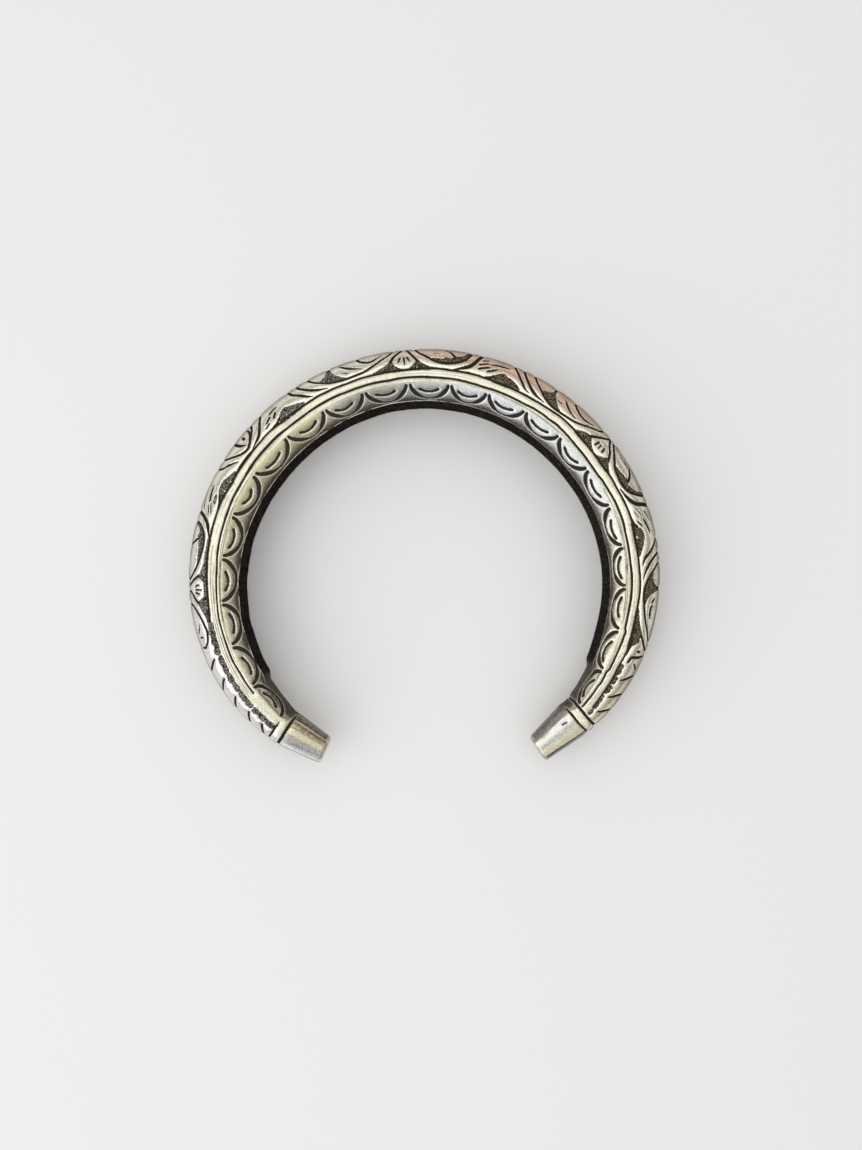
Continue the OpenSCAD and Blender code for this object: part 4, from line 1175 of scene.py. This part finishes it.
    # The wall's dark colour is oxide with painted shade, flecked with specks
    inside = n.blend(specks, (0.013, 0.011, 0.009), (0.095, 0.082, 0.068))
    wall = n.times(n.range(arris, -0.05, -0.25), walled)
    colour = n.blend(wall, colour, inside)

    dark = n.most(wall, n.range(stain, 0.1, 0.6), n.range(ground, 0.2, 0.7))
    dull = n.most(
        dark, n.times(tarnish_and_shade, n.range(plain_end, 0.0, 1.0, 0.6, 0.1)),
        n.times(brown_arris_shade, n.range(plain_end, 0.0, 1.0, 0.85, 0.0)))
    rough = n.math("ADD", n.range(grain, 0.3, 0.7, 0.20, 0.32), n.times(tarnish_and_shade, 0.14))
    pits = n.math("ADD", n.times(grain, 0.6), n.times(grit, 0.4))
    n.shade({
        "Base Color": colour,
        "Metallic": n.math("SUBTRACT", 1.0, dull),
        "Specular IOR Level": 0.0,
        "Roughness": n.most(rough, n.times(dark, 0.6)),
        "Normal": n.bump(pits, 0.7, 0.00010),
    })
    return n.owner


def make_floor():
    """A plain pale floor."""
    mesh = bpy.data.meshes.new("floor")
    reach = 3.0
    corners = [(-reach, -reach, 0), (reach, -reach, 0), (reach, reach, 0), (-reach, reach, 0)]
    mesh.from_pydata(corners, [], [(0, 1, 2, 3)])
    n = Nodes(bpy.data.materials.new("floor"))
    n.shade({"Base Color": (0.86, 0.85, 0.83, 1), "Roughness": 0.85})
    mesh.materials.append(n.owner)
    add_object("floor", mesh)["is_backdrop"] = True


# The photograph: its height and focal length in its own pixels, how high the camera stands, and
# the point of the floor straight below it
PHOTO_H = 1150
FOCAL_PX = 1113.5
CAMERA_H = 190.0
CAMERA_FOOT = (1.08, -3.13)


def make_camera():
    """A camera that looks straight down, as the photograph's does."""
    data = bpy.data.cameras.new("camera")
    data.sensor_fit = "VERTICAL"
    data.sensor_height = 36.0
    data.lens = data.sensor_height * FOCAL_PX / PHOTO_H
    data.clip_start = 0.01
    place = (CAMERA_FOOT[0] * MM, CAMERA_FOOT[1] * MM, CAMERA_H * MM)
    bpy.context.scene.camera = add_object("camera", data, place)


def area_light(name, place, aim, size, power, colour):
    """A soft box that is turned towards aim."""
    data = bpy.data.lights.new(name, "AREA")
    data.shape = "RECTANGLE"
    data.size, data.size_y = size
    data.energy = power
    data.color = colour
    light = add_object(name, data, place)
    light.rotation_euler = (Vector(aim) - Vector(place)).to_track_quat("-Z", "Y").to_euler()


def make_light():
    """A white tent, darker low down and on the right, with a soft box above and one at the left."""
    n = Nodes(bpy.data.worlds.new("studio"), "Background")
    direction = n.node("TexCoord", {})["Generated"]
    levels = []
    for way, *fade in (((0.85, -0.25, -0.55), 0.0, 0.95, 0.88, 0.32), ((0, 0, 1), 0.05, 0.8, 0.45, 1.0)):
        facing = n.node("VectorMath", {0: direction, 1: way}, operation="DOT_PRODUCT")["Value"]
        levels.append(n.range(facing, *fade))
    n.shade({"Strength": n.times(*levels), "Color": (0.97, 0.98, 1.0, 1)})
    bpy.context.scene.world = n.owner
    area_light("overhead", (-0.06, 0.04, 0.6), (-0.02, 0.02, 0), (0.5, 0.5), 0.5, (1.0, 0.97, 0.92))
    area_light("key", (-0.45, -0.25, 0.35), (0, 0, 0), (0.7, 0.6), 1.2, (0.95, 0.98, 1.0))
    bpy.context.scene.view_settings.view_transform = "Standard"


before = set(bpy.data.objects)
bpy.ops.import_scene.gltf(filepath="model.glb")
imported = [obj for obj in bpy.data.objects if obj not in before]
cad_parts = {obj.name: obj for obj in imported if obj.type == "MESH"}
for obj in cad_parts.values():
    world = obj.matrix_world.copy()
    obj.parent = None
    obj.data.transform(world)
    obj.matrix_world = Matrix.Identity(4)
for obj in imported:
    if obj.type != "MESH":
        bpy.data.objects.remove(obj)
cad_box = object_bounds()

make_camera()
make_floor()
make_light()
low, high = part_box("kada")
kada = make_kada(low, high)
kada.data.materials.append(old_silver())
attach(kada, "root")
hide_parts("kada")

sizes = {"cad": cad_box, "visual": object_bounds()}
{key: [list(corner) for corner in box] for key, box in sizes.items()}
